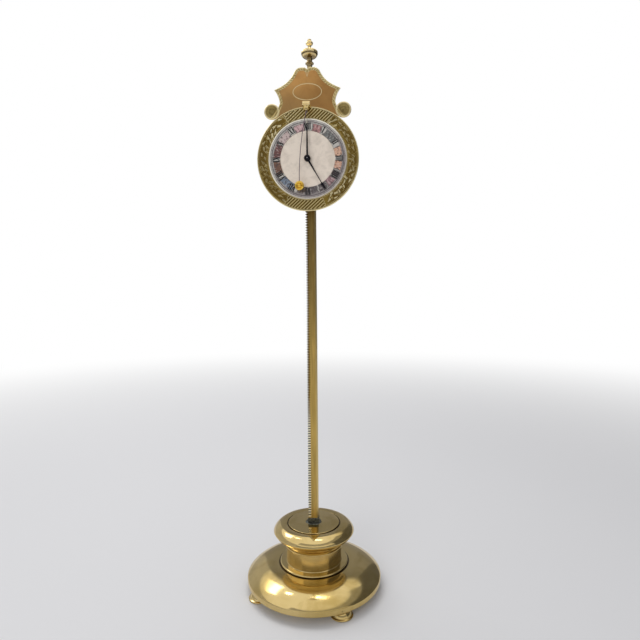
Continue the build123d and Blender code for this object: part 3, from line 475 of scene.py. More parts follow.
def pale_gilt(sheet, paint):
    """Worn gilding, painted dark brown where the mesh carries it: painted shade and dark reflections on
    the finial.
    """
    tones = paint.pale_gilt, (0.8, 0.55, 0.2)
    base = mottled(sheet, 500.0, (0.45, 0.75), tones, (0.13, 0.24), share=0.35)
    sheet.set(base_color=sheet.mix(sheet.cut("dirt"), base, (0.09, 0.05, 0.02)))


def movement_brass(sheet, paint):
    """Plates and wheels, grained along their length and slightly browned."""
    x, y, z = sheet.axes()
    grain = sheet.noise(sheet.vector(x * 8.0, y * 8.0, z), 260.0, 4.0, 0.6)
    clouds = sheet.noise(sheet.place(), 75.0, 4.0, 0.6, 0.3)
    base = sheet.mix(sheet.step(clouds, 0.4, 0.68), paint.brass, paint.brass_aged)
    base = sheet.tint(base, between(0.86, 1.12, grain))
    rough = between(0.26, 0.42, grain)
    sheet.set(base_color=base, metallic=1.0, roughness=rough, normal=sheet.bump(grain, 0.1, 0.1 * MM))


def turned_steel(sheet, paint):
    """Bright grey steel with a faint brown film."""
    mottled(sheet, 240.0, None, (paint.steel, (0.28, 0.27, 0.26)), (0.2, 0.4))


def numeral_black(sheet, paint):
    """Black wax, worn a little lighter in places."""
    tones = (0.004, 0.004, 0.004), (0.03, 0.026, 0.026)
    mottled(sheet, 900.0, (0.5, 0.75), tones, (0.35, 0.6), 0.0, 3.0)


FINISHES = {
    dress.__name__: dress
    for dress in (
        polished_brass, dark_socket, rack_brass, dial_plate_brass, crest_brass, silvered_ring, dial_white,
        blued_steel, minute_steel, wire_steel, gilt, pale_gilt, movement_brass, turned_steel,
        numeral_black,
    )
}


def finish(name):
    """The material of that name, made the first time that it is asked for."""
    found = bpy.data.materials.get(f"{name} finish")
    if found:
        return found
    sheet = Finish(name)
    FINISHES[name](sheet, bpy.context.scene.clock_colours)
    return sheet.material


# Profiles and outlines


def arc(start, middle, end, steps=10):
    """Points on the round arc from start through middle to end."""
    (ax, ay), (bx, by), (cx, cy) = start, middle, end
    cross = 2 * (ax * (by - cy) + bx * (cy - ay) + cx * (ay - by))
    a2, b2, c2 = ax**2 + ay**2, bx**2 + by**2, cx**2 + cy**2
    centre_x = (a2 * (by - cy) + b2 * (cy - ay) + c2 * (ay - by)) / cross
    centre_y = (a2 * (cx - bx) + b2 * (ax - cx) + c2 * (bx - ax)) / cross
    radius = math.hypot(ax - centre_x, ay - centre_y)
    first = math.atan2(ay - centre_y, ax - centre_x)
    full = 2 * math.pi
    sweep = (math.atan2(cy - centre_y, cx - centre_x) - first) % full
    if (math.atan2(by - centre_y, bx - centre_x) - first) % full > sweep:
        sweep -= full
    turns = [first + sweep * i / steps for i in range(steps + 1)]
    return [(centre_x + radius * math.cos(t), centre_y + radius * math.sin(t)) for t in turns]


def quarter(centre, half_w, half_h, steps, first):
    """Points on an ellipse from the angle first to its top."""
    turns = [first + (math.pi / 2 - first) * i / steps for i in range(steps + 1)]
    return [(centre[0] + half_w * math.cos(t), centre[1] + half_h * math.sin(t)) for t in turns]


def bead(low, high, bulge, steps=8):
    """A half round between two points of a profile, standing out by bulge."""
    middle = ((low[0] + high[0]) / 2 + bulge, (low[1] + high[1]) / 2)
    return arc(low, middle, high, steps)


def eased(points, radius, steps=3):
    """The same open profile with each of its sharp corners rounded."""
    points = [Vector(p) for p in points]
    result = [points[0]]
    for before, corner, after in zip(points, points[1:], points[2:]):
        back, on = before - corner, after - corner
        if back.length < 1e-7 or on.length < 1e-7:
            continue
        if back.angle(on) > math.radians(150):
            result.append(corner)
            continue
        cut = min(radius, back.length * 0.45, on.length * 0.45)
        first, last = corner + back.normalized() * cut, corner + on.normalized() * cut
        for i in range(steps + 1):
            t = i / steps
            result.append(first * (1 - t) ** 2 + corner * 2 * t * (1 - t) + last * t * t)
    result.append(points[-1])
    return [tuple(p) for p in result]


def scaled(points):
    """Millimetres to metres."""
    return [(a * MM, b * MM) for a, b in points]


def polar(radius, degrees, centre=(0.0, 0.0)):
    turn = math.radians(degrees)
    return centre[0] + radius * math.cos(turn), centre[1] + radius * math.sin(turn)


def circle(centre, radius, steps, closed=False):
    return [polar(radius, 360 * i / steps, centre) for i in range(steps + closed)]


def swung(x, z, turn):
    """A place in the dial's plane, swung round the centre by an angle in radians."""
    return x * math.cos(turn) - z * math.sin(turn), x * math.sin(turn) + z * math.cos(turn)


# Meshes


def turned(profile, steps=144, centre=(0.0, 0.0), upright=True):
    """A form turned from an open profile of radius and position, on a level or an upright axis."""
    verts, faces, rows = [], [], []
    for radius, along in profile:
        on_axis = radius < 1e-6
        rows.append((len(verts), on_axis))
        for i in range(1 if on_axis else steps):
            a, b = polar(radius, 360 * i / steps, centre)
            verts.append((a, b, along) if upright else (a, along, b))
    for (low, low_on_axis), (high, high_on_axis) in zip(rows, rows[1:]):
        for i in range(steps):
            j = (i + 1) % steps
            if low_on_axis and high_on_axis:
                continue
            if low_on_axis:
                faces.append((low, high + i, high + j))
            elif high_on_axis:
                faces.append((low + i, high, low + j))
            else:
                faces.append((low + i, high + i, high + j, low + j))
    return verts, faces


def wall(first, second):
    """Faces of the closed band between two rings of points."""
    pairs = list(zip(first, second))
    return [(a, c, d, b) for (a, b), (c, d) in zip(pairs, pairs[1:] + pairs[:1])]


def tube_faces(rows, count):
    """Faces along a tube of that many rings, each of count points, and then its two ends."""
    rings = [range(count * row, count * row + count) for row in range(rows)]
    sides = [face for low, high in zip(rings, rings[1:]) for face in wall(low, high)]
    return sides + [tuple(reversed(rings[0])), tuple(rings[-1])]


def prism(outline, front, back):
    """A flat form in the dial's plane, from an outline of x and height, between two depths."""
    return [(x, y, z) for y in (front, back) for x, z in outline], tube_faces(2, len(outline))


def block_form(half_w, low_z, high_z, front, back):
    outline = [(-half_w, low_z), (half_w, low_z), (half_w, high_z), (-half_w, high_z)]
    return prism(outline, front, back)


def joined(*forms):
    verts, faces = [], []
    for more_verts, more_faces in forms:
        start = len(verts)
        verts += more_verts
        faces += [tuple(start + i for i in face) for face in more_faces]
    return verts, faces


def shown(name, form, material, body, replaces=(), sharp=32, bevel=0.0):
    """Makes a piece of a form, in its finish, that rides on a body and may stand for CAD nodes."""
    mesh = bpy.data.meshes.new(name)
    mesh.from_pydata([tuple(v) for v in form[0]], [], form[1])
    work = bmesh.new()
    work.from_mesh(mesh)
    bmesh.ops.recalc_face_normals(work, faces=work.faces)
    work.to_mesh(mesh)
    work.free()
    mesh.shade_smooth()
    if not bevel:
        mesh.set_sharp_from_angle(angle=math.radians(sharp))
    mesh.materials.append(finish(material))
    obj = bpy.data.objects.new(name, mesh)
    bpy.context.scene.collection.objects.link(obj)
    if bevel:
        edge = obj.modifiers.new("eased", "BEVEL")
        edge.width = bevel
        edge.segments = 2
        edge.limit_method = "ANGLE"
        edge.angle_limit = math.radians(sharp)
        obj.modifiers.new("shading", "WEIGHTED_NORMAL")
    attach(obj, body)
    if replaces:
        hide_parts(*replaces)
    return obj


def inset(outline, distance):
    """A closed outline moved inwards, taken counter-clockwise."""
    points = np.array(outline)
    ahead = np.roll(points, -1, axis=0) - points
    ahead /= np.linalg.norm(ahead, axis=1)[:, None] + 1e-12
    both = ahead + np.roll(ahead, 1, axis=0)
    size = np.linalg.norm(both, axis=1)[:, None]
    inwards = np.stack([-both[:, 1], both[:, 0]], axis=1) / (size + 1e-12)
    return [tuple(p) for p in points + inwards * distance / np.clip(size / 2, 0.5, 1.0)]


def within(points, outer, hole=()):
    """Which of the points lie inside a closed outline and outside its hole."""
    points, corners = np.asarray(points), np.asarray(outer)
    inside = np.zeros(len(points), bool)
    for (ax, ay), (bx, by) in zip(corners, np.roll(corners, -1, axis=0)):
        if ay != by:
            crosses = (ay > points[:, 1]) != (by > points[:, 1])
            inside ^= crosses & (points[:, 0] < (bx - ax) * (points[:, 1] - ay) / (by - ay) + ax)
    return inside & ~within(points, hole) if hole else inside


def filled(outer, hole=(), others=()):
    """Points and triangles of an area between an outline and its hole, with others strewn in it."""
    edges = []
    for loop in (outer, hole):
        start = len(edges)
        edges += [(start + i, start + (i + 1) % len(loop)) for i in range(len(loop))]
    flat = [Vector(p) for p in (*outer, *hole, *others)]
    points, _, cells, _, _, _ = delaunay_2d_cdt(flat, edges, [], 0, 1e-9, False)
    points = np.array([tuple(p) for p in points])
    kept = within([points[cell].mean(axis=0) for cell in cells], outer, hole)
    return points, [tuple(cell) for cell, keep in zip(cells, kept) if keep]


def distances(points, others):
    """How far each point is from the nearest of the others."""
    tree = KDTree(len(others))
    for i, (x, z) in enumerate(others):
        tree.insert((x, z, 0.0), i)
    tree.balance()
    return np.array([tree.find((x, z, 0.0))[2] for x, z in points])


def unit(values):
    """The values held between 0 and 1."""
    return np.clip(values, 0, 1)


def sampled(stroke, gap):
    """Points along an open line, at most that far apart."""
    points = [np.array(stroke[0])]
    for start, end in zip(stroke, stroke[1:]):
        start, end = np.array(start), np.array(end)
        count = max(1, math.ceil(np.linalg.norm(end - start) / gap))
        points += [start + (end - start) * i / count for i in range(1, count + 1)]
    return points


def stroke_distances(points, strokes, gap):
    """For each half width in use, how many half widths every point is from strokes so wide."""
    for width in sorted({w for _, w in strokes}):
        marks = [p for stroke, w in strokes if w == width for p in sampled(stroke, gap)]
        yield distances(points, marks) / width


def engraved(outer, strokes, ridges, front, back, size, lift, hole=()):
    """A plate whose front carries cuts: strokes are lines with the half width of their cut.

    Ridges are lines left standing between two cuts. Returns the form and, for each of its
    points, its place round the dial centre, how deep it lies in a cut and how bright it is
    beside one."""
    edge, grid = 0.3 * MM, size.cut_grid
    shoulder = inset(outer, edge)
    rim = shoulder + list(hole)
    low, high = np.min(outer, axis=0), np.max(outer, axis=0)
    xs, zs = np.arange(low[0], high[0], grid), np.arange(low[1], high[1], grid * 0.866)
    inner = np.array([(x + (row % 2) * grid / 2, z) for row, z in enumerate(zs) for x in xs])
    inner = inner[within(inner, shoulder, hole)]
    points, faces = filled(shoulder, hole, inner[distances(inner, rim) > grid * 0.6])
    cut, near = np.zeros(len(points)), np.zeros(len(points))
    # Away from its middle a cut ends at 1.15 half widths, and the painted highlight beside it is
    # brightest at 1.35.
    for away in stroke_distances(points, strokes, grid / 2):
        cut = np.maximum(cut, unit(1.15 - away))
        near = np.maximum(near, unit(1 - abs(away - 1.35) / 0.55))
    # A ridge stands clear to 1.1 half widths, and the cuts beside it are deepest at 1.9. Within 1.4 half
    # widths a ridge carries a painted highlight.
    for away in stroke_distances(points, ridges, grid / 2):
        cut = np.maximum(np.where(away < 1.1, 0, cut), unit(1 - abs(away - 1.9) / 0.7))
        near = np.maximum(near, unit(1.4 - away))
    depths = front + size.cut_depth * cut - lift(points)
    verts = [(x, y, z) for (x, z), y in zip(points, depths)]
    ring = range(len(shoulder))
    for y in (front + edge, back):
        below = range(len(verts), len(verts) + len(outer))
        verts += [(x, y, z) for x, z in outer]
        faces += wall(ring, below)
        ring = below
    bottom = range(len(verts), len(verts) + len(hole))
    verts += [(x, back, z) for x, z in hole]
    faces += wall(range(len(shoulder), len(rim)), bottom)
    if hole:
        back_ids = [*ring, *bottom]
        faces += [tuple(back_ids[i] for i in cell) for cell in filled(outer, hole)[1]]
    else:
        faces.append(tuple(ring))
    flat = np.array([(x, z) for x, _, z in verts])
    spare = (0, len(verts) - len(points))
    form = [(x, y, z + DIAL_Z) for x, y, z in verts], faces
    return form, flat, np.pad(cut, spare), np.pad(near, spare)


def carry(obj, domain="POINT", **values):
    """Stores values at the points, or on the faces, of a piece for its finish to read."""
    for name, numbers in values.items():
        layer = obj.data.attributes.new(name, "FLOAT", domain)
        layer.data.foreach_set("value", np.asarray(numbers, np.float32))


def dirty(obj, low_r, high_r, above):
    """Marks the points of a turned piece, within two radii and above a height, for its finish to paint
    near black.
    """
    places = [point.co for point in obj.data.vertices]
    marks = [low_r < math.hypot(p.x, p.y) < high_r and p.z > above - 0.1 * MM for p in places]
    carry(obj, dirt=marks)


# Stand


def turned_brass(node, profile, steps=192):
    """A turned piece of the stand, in place of its node."""
    form = turned(profile, steps)
    return shown(f"{node}_turned", form, "polished_brass", "stand", [node])


def make_feet(scene):
    size = scene.clock_stand
    lip_r = size.foot_radius / MM
    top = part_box("feet")[1].z / MM
    profile = [(0, 0), (lip_r - 2.1, 0), (lip_r - 0.9, 0.35)]
    profile += arc((lip_r - 0.5, 0.5), (lip_r, 1.15), (lip_r - 0.6, 1.9), 8)
    profile += [(lip_r - 1.3, 2.15)]
    profile += arc((lip_r - 1.6, 2.3), (lip_r - 2.8, top * 0.66), (lip_r / 2, top), 12) + [(0, top)]
    profile = scaled(eased(profile, 0.25))
    first_foot = 30.6 - 90
    forms = [turned(profile, 72, polar(size.foot_ring, first_foot + 90 * i)) for i in range(4)]
    shown("bun_feet", joined(*forms), "polished_brass", "stand", ["feet"])


def make_base(scene):
    size = scene.clock_stand
    low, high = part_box("base_dish")
    radius, rim_top = size.rim_radius, low.z + 5.4 * MM
    step, shoulder = 0.15 * MM, math.radians(28.0)
    half_w = (radius - step - size.dome_flat) / math.cos(shoulder)
    half_h = (high.z - rim_top) / (1 - math.sin(shoulder))
    profile = [(0.0, low.z), (radius - 0.25 * MM, low.z), (radius, low.z + 0.4 * MM)]
    profile += [(radius, rim_top - step - 0.2 * MM)]
    profile += quarter((size.dome_flat, high.z - half_h), half_w, half_h, 30, shoulder) + [(0.0, high.z)]
    dish = turned_brass("base_dish", eased(profile, size.edge), 256)
    dirty(dish, 0.0, size.dome_flat + 0.1 * MM, high.z - 1.0 * MM)


def make_column(scene):
    low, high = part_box("bead_ring")
    half = (high.z - low.z) / 2
    inner = high.x - half
    flank = bead((inner, low.z), (inner, high.z), half, 12)
    turned_brass("bead_ring", [(0.0, low.z)] + flank + [(0.0, high.z)])

    low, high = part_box("neck")
    ring_h = 1.6 * MM
    neck_r, ring_in, ring_low = high.x - 1.8 * MM, high.x - ring_h / 2, high.z - ring_h
    profile = [(0.0, low.z), (neck_r + 0.5 * MM, low.z), (neck_r, low.z + 0.6 * MM)]
    profile += [(neck_r, ring_low - 0.5 * MM), (neck_r + 0.6 * MM, ring_low)]
    profile += bead((ring_in, ring_low), (ring_in, high.z), ring_h / 2, 8) + [(0.0, high.z)]
    turned_brass("neck", eased(profile, 0.2 * MM))

    low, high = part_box("cove_cup")
    middle = ((ring_in + high.x) / 2 - 0.9 * MM, (low.z + high.z) / 2)
    flank = arc((ring_in, low.z), middle, (high.x, high.z), 16)
    turned_brass("cove_cup", [(0.0, low.z)] + flank + [(0.0, high.z)])


def make_drum(scene):
    size = scene.clock_stand
    low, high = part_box("drum")
    wide_z = low.z + 6.2 * MM
    lip_r, radius, top_r = 38 * MM, size.drum_radius, 30 * MM
    lip_end, belly_end = (lip_r + 0.6 * MM, low.z + 0.5 * MM), (radius - 0.12 * MM, wide_z - 0.6 * MM)
    profile = [(0.0, low.z), (lip_r, low.z), (lip_r + 0.5 * MM, low.z + 0.35 * MM)]
    profile += arc(lip_end, (radius - 1.5 * MM, wide_z - 2.8 * MM), belly_end, 10)
    shoulder = (radius - 4.1 * MM, wide_z + (high.z - wide_z) * 0.72)
    profile += arc((radius, wide_z), shoulder, (top_r, high.z), 28)
    seat_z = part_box("cap_disc")[0].z
    groove = size.cap_radius + 0.95 * MM
    profile += [(groove + 0.3 * MM, high.z), (groove, high.z - 0.3 * MM), (groove, seat_z), (0.0, seat_z)]
    drum = turned_brass("drum", eased(profile, 0.3 * MM), 224)
    dirty(drum, size.cap_radius - 0.2 * MM, groove + 0.35 * MM, seat_z)

    low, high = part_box("cap_disc")
    radius = size.cap_radius
    profile = [(0.0, low.z), (radius, low.z), (radius, high.z), (0.0, high.z)]
    turned_brass("cap_disc", eased(profile, 0.45 * MM, 5))


def make_socket(scene):
    """The thin washer, hammered slightly out of round."""
    low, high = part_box("socket_washer")
    count = 72
    verts = []
    for share, height in ((1.0, low.z), (0.93, high.z)):
        for i in range(count):
            turn = 2 * math.pi * i / count
            radius = share * high.x * (1 - 0.035 * math.sin(3 * turn + 0.6) - 0.02 * math.sin(7 * turn))
            verts.append((*polar(radius, math.degrees(turn)), height))
    top = len(verts)
    verts.append((0.0, 0.0, high.z + 0.15 * MM))
    faces = tube_faces(2, count)[:-1] + [(count + i, count + (i + 1) % count, top) for i in range(count)]
    shown("socket_washer_cast", (verts, faces), "dark_socket", "stand", ["socket_washer"])


def make_rack(scene):
    """The toothed bar: the teeth, the ends of the gaps and the teeth's flanks are marked for the painted
    highlights and shade of its finish.
    """
    size = scene.clock_stand
    low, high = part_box("rack_bar")
    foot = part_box("rack_socket")[1].z
    teeth, depth, slope = 170, high.y, 1.4 * MM
    first_tooth, half = foot + 2.4 * MM, 0.4 * size.rack_pitch
    # Places along the toothed edge: x, height, and whether it is a tooth's front or a gap's end.
    edge = [(low.x, foot, 0.0, 0.0)]
    for i in range(teeth):
        middle = first_tooth + (i + 0.5) * size.rack_pitch
        edge += [(low.x, middle - half, 1.0, 0.0), (size.rack_root, middle, 0.0, 1.0)]
        edge += [(low.x, middle + half, 1.0, 0.0)]
    edge.append((low.x, high.z, 0.0, 0.0))
    inner = size.rack_root + 0.65 * MM
    across = [(inner, depth), (inner + 0.3 * MM, depth), (high.x - slope, depth), (high.x, depth - slope)]
    section = [(x, -y) for x, y in across] + [(x, y) for x, y in reversed(across)]
    count = len(section) + 2
    verts, tooth, gap = [], [], []
    for x, z, bright, dark in edge:
        verts += [(a, b, z) for a, b in [(x, -depth), *section, (x, depth)]]
        for marks, mark in ((tooth, bright), (gap, dark)):
            marks += [mark, mark] + [0.0] * (count - 4) + [mark, mark]
    tang = block_form(3.7 * MM, low.z, foot, -2.3 * MM, 2.3 * MM)
    form = joined((verts, tube_faces(len(edge), count)), tang)
    bar = shown("rack_toothed", form, "rack_brass", "stand", ["rack_bar"], 20)
    spare = [0.0] * len(tang[0])
    carry(bar, tooth=tooth + spare, gap=gap + spare)
    flank = []
    for below, above in zip(edge, edge[1:]):
        flank += [False] * (count - 1) + [below[0] != above[0]]
    carry(bar, "FACE", flank=flank + [False] * (len(form[1]) - len(flank)))


def squarish(inner, outer, end, middle, power=1.0, steps=16):
    """A quarter of a flattened bulb, from its neck at the height end to its widest point."""
    points = []
    for i in range(steps + 1):
        turn = math.pi / 2 * i / steps
        rise = (end - middle) * math.cos(turn) ** power
        points.append((inner + (outer - inner) * math.sin(turn) ** power, middle + rise))
    return points


def make_finial(scene):
    rises = (8.9, 2.7, 3.8, 3.1, 5.8, 3.8, 4.1, 2.2)
    z0, z1, z2, z3, z4, z5, z6, z7, z8 = np.cumsum((RACK_TOP / MM, *rises)).tolist()
    stem, waist, throat, bulb = 2.6, 3.0, 1.85, 8.5
    wide_z, ball_z = z4 + 1.9, z8 - 1.8
    profile = [(0, z0 - 7.9), (1.5, z0 - 7.9), (1.5, z0), (stem + 0.9, z0), (stem + 0.9, z0 + 0.5)]
    profile += arc((stem + 0.5, z0 + 0.9), (stem, (z0 + z1) / 2), (stem + 0.25, z1), 8)
    profile += bead((stem + 0.6, z1 + 0.5), (waist + 0.6, z2 - 0.5), 0.95, 10)
    profile += arc((waist + 0.1, z2 - 0.4), (waist - 0.25, (z2 + z3) / 2), (waist, z3), 8)
    profile += squarish(waist + 0.4, bulb, z3, wide_z)
    profile += squarish(throat, bulb, z5 - 0.8, wide_z, 0.62)[::-1][1:]
    profile += arc((throat - 0.02, z5 - 0.6), (throat - 0.2, (z5 + z6) / 2), (throat + 0.25, z6 - 0.1), 8)
    profile += arc((throat + 0.5, z6), (3.65, z6 + 1.7), (1.35, z7), 14)
    profile += arc((1.3, z7), (1.8, ball_z), (0.9, z8 - 0.25), 10) + [(0, z8)]
    form = turned(scaled(eased(profile, 0.12)), 96)
    finial = shown("finial_turned", form, "pale_gilt", "stand", ["finial"], 40)
    # Painted shade: dark bands along the finial, at its foot, at the bulb's lower end, under its widest
    # point, and rising towards its top.
    painted_shade = ((z0, 0.5), (z3, 0.8), (z3 + 0.9, 0.7), (wide_z - 3.3, 0.15), (wide_z - 2.6, 0.15))
    painted_shade += ((wide_z - 2.1, 0.9), (wide_z - 1.3, 0.9), (wide_z - 0.6, 0.0), (z7, 0.0), (z8, 0.4))
    carry(finial, dirt=np.interp([z / MM for _, _, z in form[0]], *zip(*painted_shade)))


# Dial


def hatching(middle_angle, half_angle, low_r, high_r, pitch, slope):
    """Parallel lines over a stretch of the plate's border, as strokes round the dial centre."""
    along = np.array(polar(1.0, slope))
    across = np.array((-along[1], along[0]))
    reach = np.arange(-high_r, high_r, 0.3 * MM)[:, None]
    count = int(high_r / pitch) + 1
    strokes = []
    for i in range(-count, count + 1):
        line = across * i * pitch + along * reach
        radii, angles = np.hypot(*line.T), np.degrees(np.arctan2(line[:, 1], line[:, 0]))
        off = abs((angles - middle_angle + 180) % 360 - 180)
        inside = (low_r < radii) & (radii < high_r) & (off < half_angle)
        ends = np.flatnonzero(np.diff(np.pad(inside.astype(int), 1)))
        for first, last in zip(ends[::2], ends[1::2] - 1):
            if last - first > 1:
                strokes.append([tuple(line[first]), tuple(line[last])])
    return strokes


def curl(start, heading, reach, bend):
    """A cut of four steps that turns by a set angle at each."""
    points = [start]
    for i in range(4):
        points.append(polar(reach / 4, heading + bend * i, points[-1]))
    return points


def leaf_strokes(place, heading, reach):
    """A curved stem with a shorter cut branching off on either side."""
    stem = curl(place, heading, reach, 20)
    left = curl(stem[1], heading + 62, reach * 0.5, -16)
    right = curl(stem[2], heading - 30, reach * 0.45, 24)
    return [stem, left, right]


def foliage(start, end, low_r, high_r, gap, seed):
    """Leaves and small curls strewn along a stretch of the border, angles in degrees."""
    dice = random.Random(seed)
    strokes = []
    count = round(math.radians(end - start) * (low_r + high_r) / 2 / gap)
    for i in range(count):
        angle = start + (end - start) * (i + 0.5 + dice.uniform(-0.3, 0.3)) / count
        radius = low_r + (high_r - low_r) * (0.3 if i % 2 else 0.7) + dice.uniform(-0.7, 0.7) * MM
        heading = angle + dice.choice((60, 90, 120)) + dice.uniform(-15, 15)
        reach = dice.uniform(3.2, 5.4) * MM
        leaf = leaf_strokes(polar(radius, angle), heading, reach)
        strokes += leaf if dice.random() < 0.6 else leaf[:2]
        if dice.random() < 0.3:
            core = polar(radius, angle + gap / radius * 20)
            strokes.append([polar((1.1 - 0.09 * k) * MM, heading + 40 * k, core) for k in range(9)])
    return strokes


# How strongly the engraving's painted highlights show round the plate, by angle in degrees.
ENGRAVING_GLINT = (
    (-180, 0.3), (-150, 0.2), (-122, 0.3), (-117, 0.7), (-66, 0.7), (-58, 1.0), (-28, 0.9), (-10, 0.4),
    (10, 0.32), (30, 0.36), (52, 0.5), (60, 0.85), (90, 0.85), (112, 0.95), (128, 1.0), (146, 1.0),
    (160, 0.5), (180, 0.3),
)


def make_dial_plate(scene):
    size = scene.clock_dial
    radius, ring = size.plate_radius, size.ring_radius
    low_r, high_r = ring + 1.3 * MM, radius - 1.9 * MM
    border_r, hole_r = high_r + 0.9 * MM, ring - 1.5 * MM
    fine, bold, ridge = 0.36 * MM, 0.82 * MM, 0.35 * MM
    strokes, ridges = [], []
    stretches = ((88, 29, 1.0, 42, bold), (266, 24, 1.0, 42, bold), (112, 8, 1.3, -28, fine))
    for middle, half, spread, slope, width in stretches:
        lines = hatching(middle, half, low_r, high_r, size.hatch_pitch * spread, slope)
        strokes += [(line, width) for line in lines]
    for seed, start, end in ((3, -66, 57), (8, 122, 238)):
        ridges += [(line, ridge) for line in foliage(start, end, low_r, high_r, 3.1 * MM, seed)]
    for r in (low_r - 0.5 * MM, high_r + 0.6 * MM):
        strokes.append((circle((0, 0), r, 240, True), fine))

    def lift(points):
        return np.where(np.hypot(*points.T) > border_r, 0.1 * MM, 0.0)

    outer, hole = circle((0, 0), radius, 300), circle((0, 0), hole_r, 180)
    form, flat, cut, near = engraved(outer, strokes, ridges, PLATE_FRONT, CREST_FRONT, size, lift, hole)
    brass = "dial_plate_brass"
    plate = shown("dial_plate_engraved", form, brass, "carriage", ["dial_plate"], 60)
    away, turn = np.hypot(*flat.T), np.degrees(np.arctan2(flat[:, 1], flat[:, 0]))
    # worn holds the strength of the engraving's painted highlights at each point.
    worn = np.interp(turn, *zip(*ENGRAVING_GLINT))
    scrolls = unit((abs(abs(turn) - 90) - 26) / 5)
    ground = scrolls * unit((away - low_r) / (1.5 * MM)) * (away < high_r)
    # A painted highlight on the raised outer rim, and a weaker one at the inner edge.
    rim = unit((away - border_r) / (0.4 * MM)) * 0.85
    rim = np.maximum(rim, unit((low_r - 0.7 * MM - away) / (0.3 * MM)) * 0.5)
    # Where the painted highlights are weak, the cuts in the scrolls are painted paler.
    cut = cut * (1 - scrolls * (1 - worn) * 0.6)
    carry(plate, cut=cut, burr=np.maximum(rim, near * worn), ground=ground)
    under = tube_form(DIAL_CENTRE, 2.6 * MM, hole_r, PLATE_FRONT, CREST_FRONT)
    shown("dial_plate_middle", under, "movement_brass", "carriage")


def tube_form(centre, inner, outer, front, back, steps=160):
    profile = [(inner, front), (outer, front), (outer, back), (inner, back), (inner, front)]
    return turned(profile, steps, centre, False)


# Middle of the right volute and the engraved strip below it, in mm from the dial centre.
VOLUTE = (35.1, 46.7)
STRIP = ((26.6, 52.0), (28.6, 47.5), (32.0, 42.5), (36.0, 38.9))


def on_side(side, points):
    """Places in mm of the crest's right half, or of its mirrored left half, in metres."""
    return [(side * x * MM, z * MM) for x, z in points]


def from_volute(points):
    """How far each point is from the middle of the nearer volute."""
    return np.hypot(abs(points[:, 0]) - VOLUTE[0] * MM, points[:, 1] - VOLUTE[1] * MM)


def crest_side():
    """Right side of the crest's outline from the foot up to the notch, in mm from the dial centre."""
    points = [(30.0, 24.0)]
    points += [polar(7.5, a, VOLUTE) for a in np.linspace(-132.8, 149.8, 44)]
    points += arc((27.1, 54.6), (28.3, 60.0), (32.4, 67.1), 10)
    points += bezier((32.4, 67.1), (25.4, 70.2), (17.6, 73.2), (12.7, 83.0), 22)[1:]
    points += arc((12.7, 83.0), (10.8, 85.7), (6.95, 87.5), 8)[1:]
    points += arc((3.2, 87.5), (1.44, 86.9), (0.0, 85.9), 6)
    return points


def bezier(a, b, c, d, steps):
    a, b, c, d = (np.array(p) for p in (a, b, c, d))
    turns = [i / steps for i in range(steps + 1)]
    shares = [((1 - t) ** 3, 3 * t * (1 - t) ** 2, 3 * t * t * (1 - t), t**3) for t in turns]
    return [tuple(a * one + b * two + c * three + d * four) for one, two, three, four in shares]


def make_crest(scene):
    half = crest_side()
    outline = on_side(1, half) + on_side(-1, reversed(half[:-1]))
    outer = [tuple(p) for p in sampled(outline + outline[:1], 0.8 * MM)[:-1]]
    body = [(x, z) for x, z in half if x <= 28.7 or z >= 55]
    fine, bold = 0.3 * MM, 0.5 * MM
    strokes, ridges, edges, strips = [], [], [], []
    for side in (1, -1):
        path, strip = on_side(side, body), on_side(side, STRIP)
        edges += sampled(path, 0.4 * MM)
        strips += sampled(strip, 0.3 * MM)
        path = sampled(path, 0.5 * MM)
        lines = [offset_line(path, distance * MM, side) for distance in (0.75, 1.0, 2.8, 3.1)]
        strokes += [(lines[0], fine), (lines[3], fine)]
        for i in range(2, len(path) - 6, 6):
            strokes.append(([lines[1][i], lines[2][i + 4]], bold if i % 12 else fine))
        strokes += [(circle(*on_side(side, [VOLUTE]), r * MM, 60, True), fine) for r in (6.0, 2.6)]
        strokes += [([p - 1.1 * MM, p + 1.1 * MM], bold) for p in sampled(strip, 1.5 * MM)]
        ridges.append((on_side(side, [(1.7, 84.2), (0.0, 78.8)]), fine))
    turns = np.linspace(0, 2 * math.pi, 90)
    oval = on_side(1, [(13.9 * math.cos(t), 64.4 + 7.7 * math.sin(t)) for t in turns])
    strokes += [(oval, fine), (on_side(1, [(0.0, 85.0), (0.0, 81.0)]), bold)]

    def lift(points):
        away = from_volute(points)
        rim = 0.35 * MM * unit(1.6 - abs(away / MM - 6.1) / 0.75)
        return np.where(away < 5.2 * MM, 0.25 * MM * unit(1.4 - away / (1.2 * MM)), rim)

    form, flat, cut, near = engraved(
        outer, strokes, ridges, CREST_FRONT, CREST_BACK, scene.clock_dial, lift
    )
    crest = shown("crest_engraved", form, "crest_brass", "carriage", ["crest_plate"], 60)
    edge, volute = distances(flat, edges), from_volute(flat)
    strip = unit((1.9 * MM - distances(flat, strips)) / (0.3 * MM))
    disc = unit((6.3 * MM - volute) / (0.4 * MM))
    border = np.maximum(unit((3.2 * MM - edge) / (0.3 * MM)) * (volute > 7.6 * MM), strip)
    # Painted highlights along the outline's edge, round each volute's ring, beside the oval, beside the
    # border's cuts and on the notch's leaf.
    bright = unit((0.85 * MM - edge) / (0.3 * MM))
    ring = unit(1.5 - abs(volute / MM - 6.8) / 0.8)
    pale = unit((0.42 * MM - distances(flat, sampled(oval, 0.2 * MM))) / (0.2 * MM))
    leaf = near * (abs(flat[:, 0]) < 3.2 * MM) * (flat[:, 1] > 77 * MM)
    burr = np.maximum.reduce([bright, ring * 0.8, pale * 0.8, near * border * 0.85, leaf * 0.6])
    carry(crest, cut=cut, border=border, burr=burr, disc=disc)


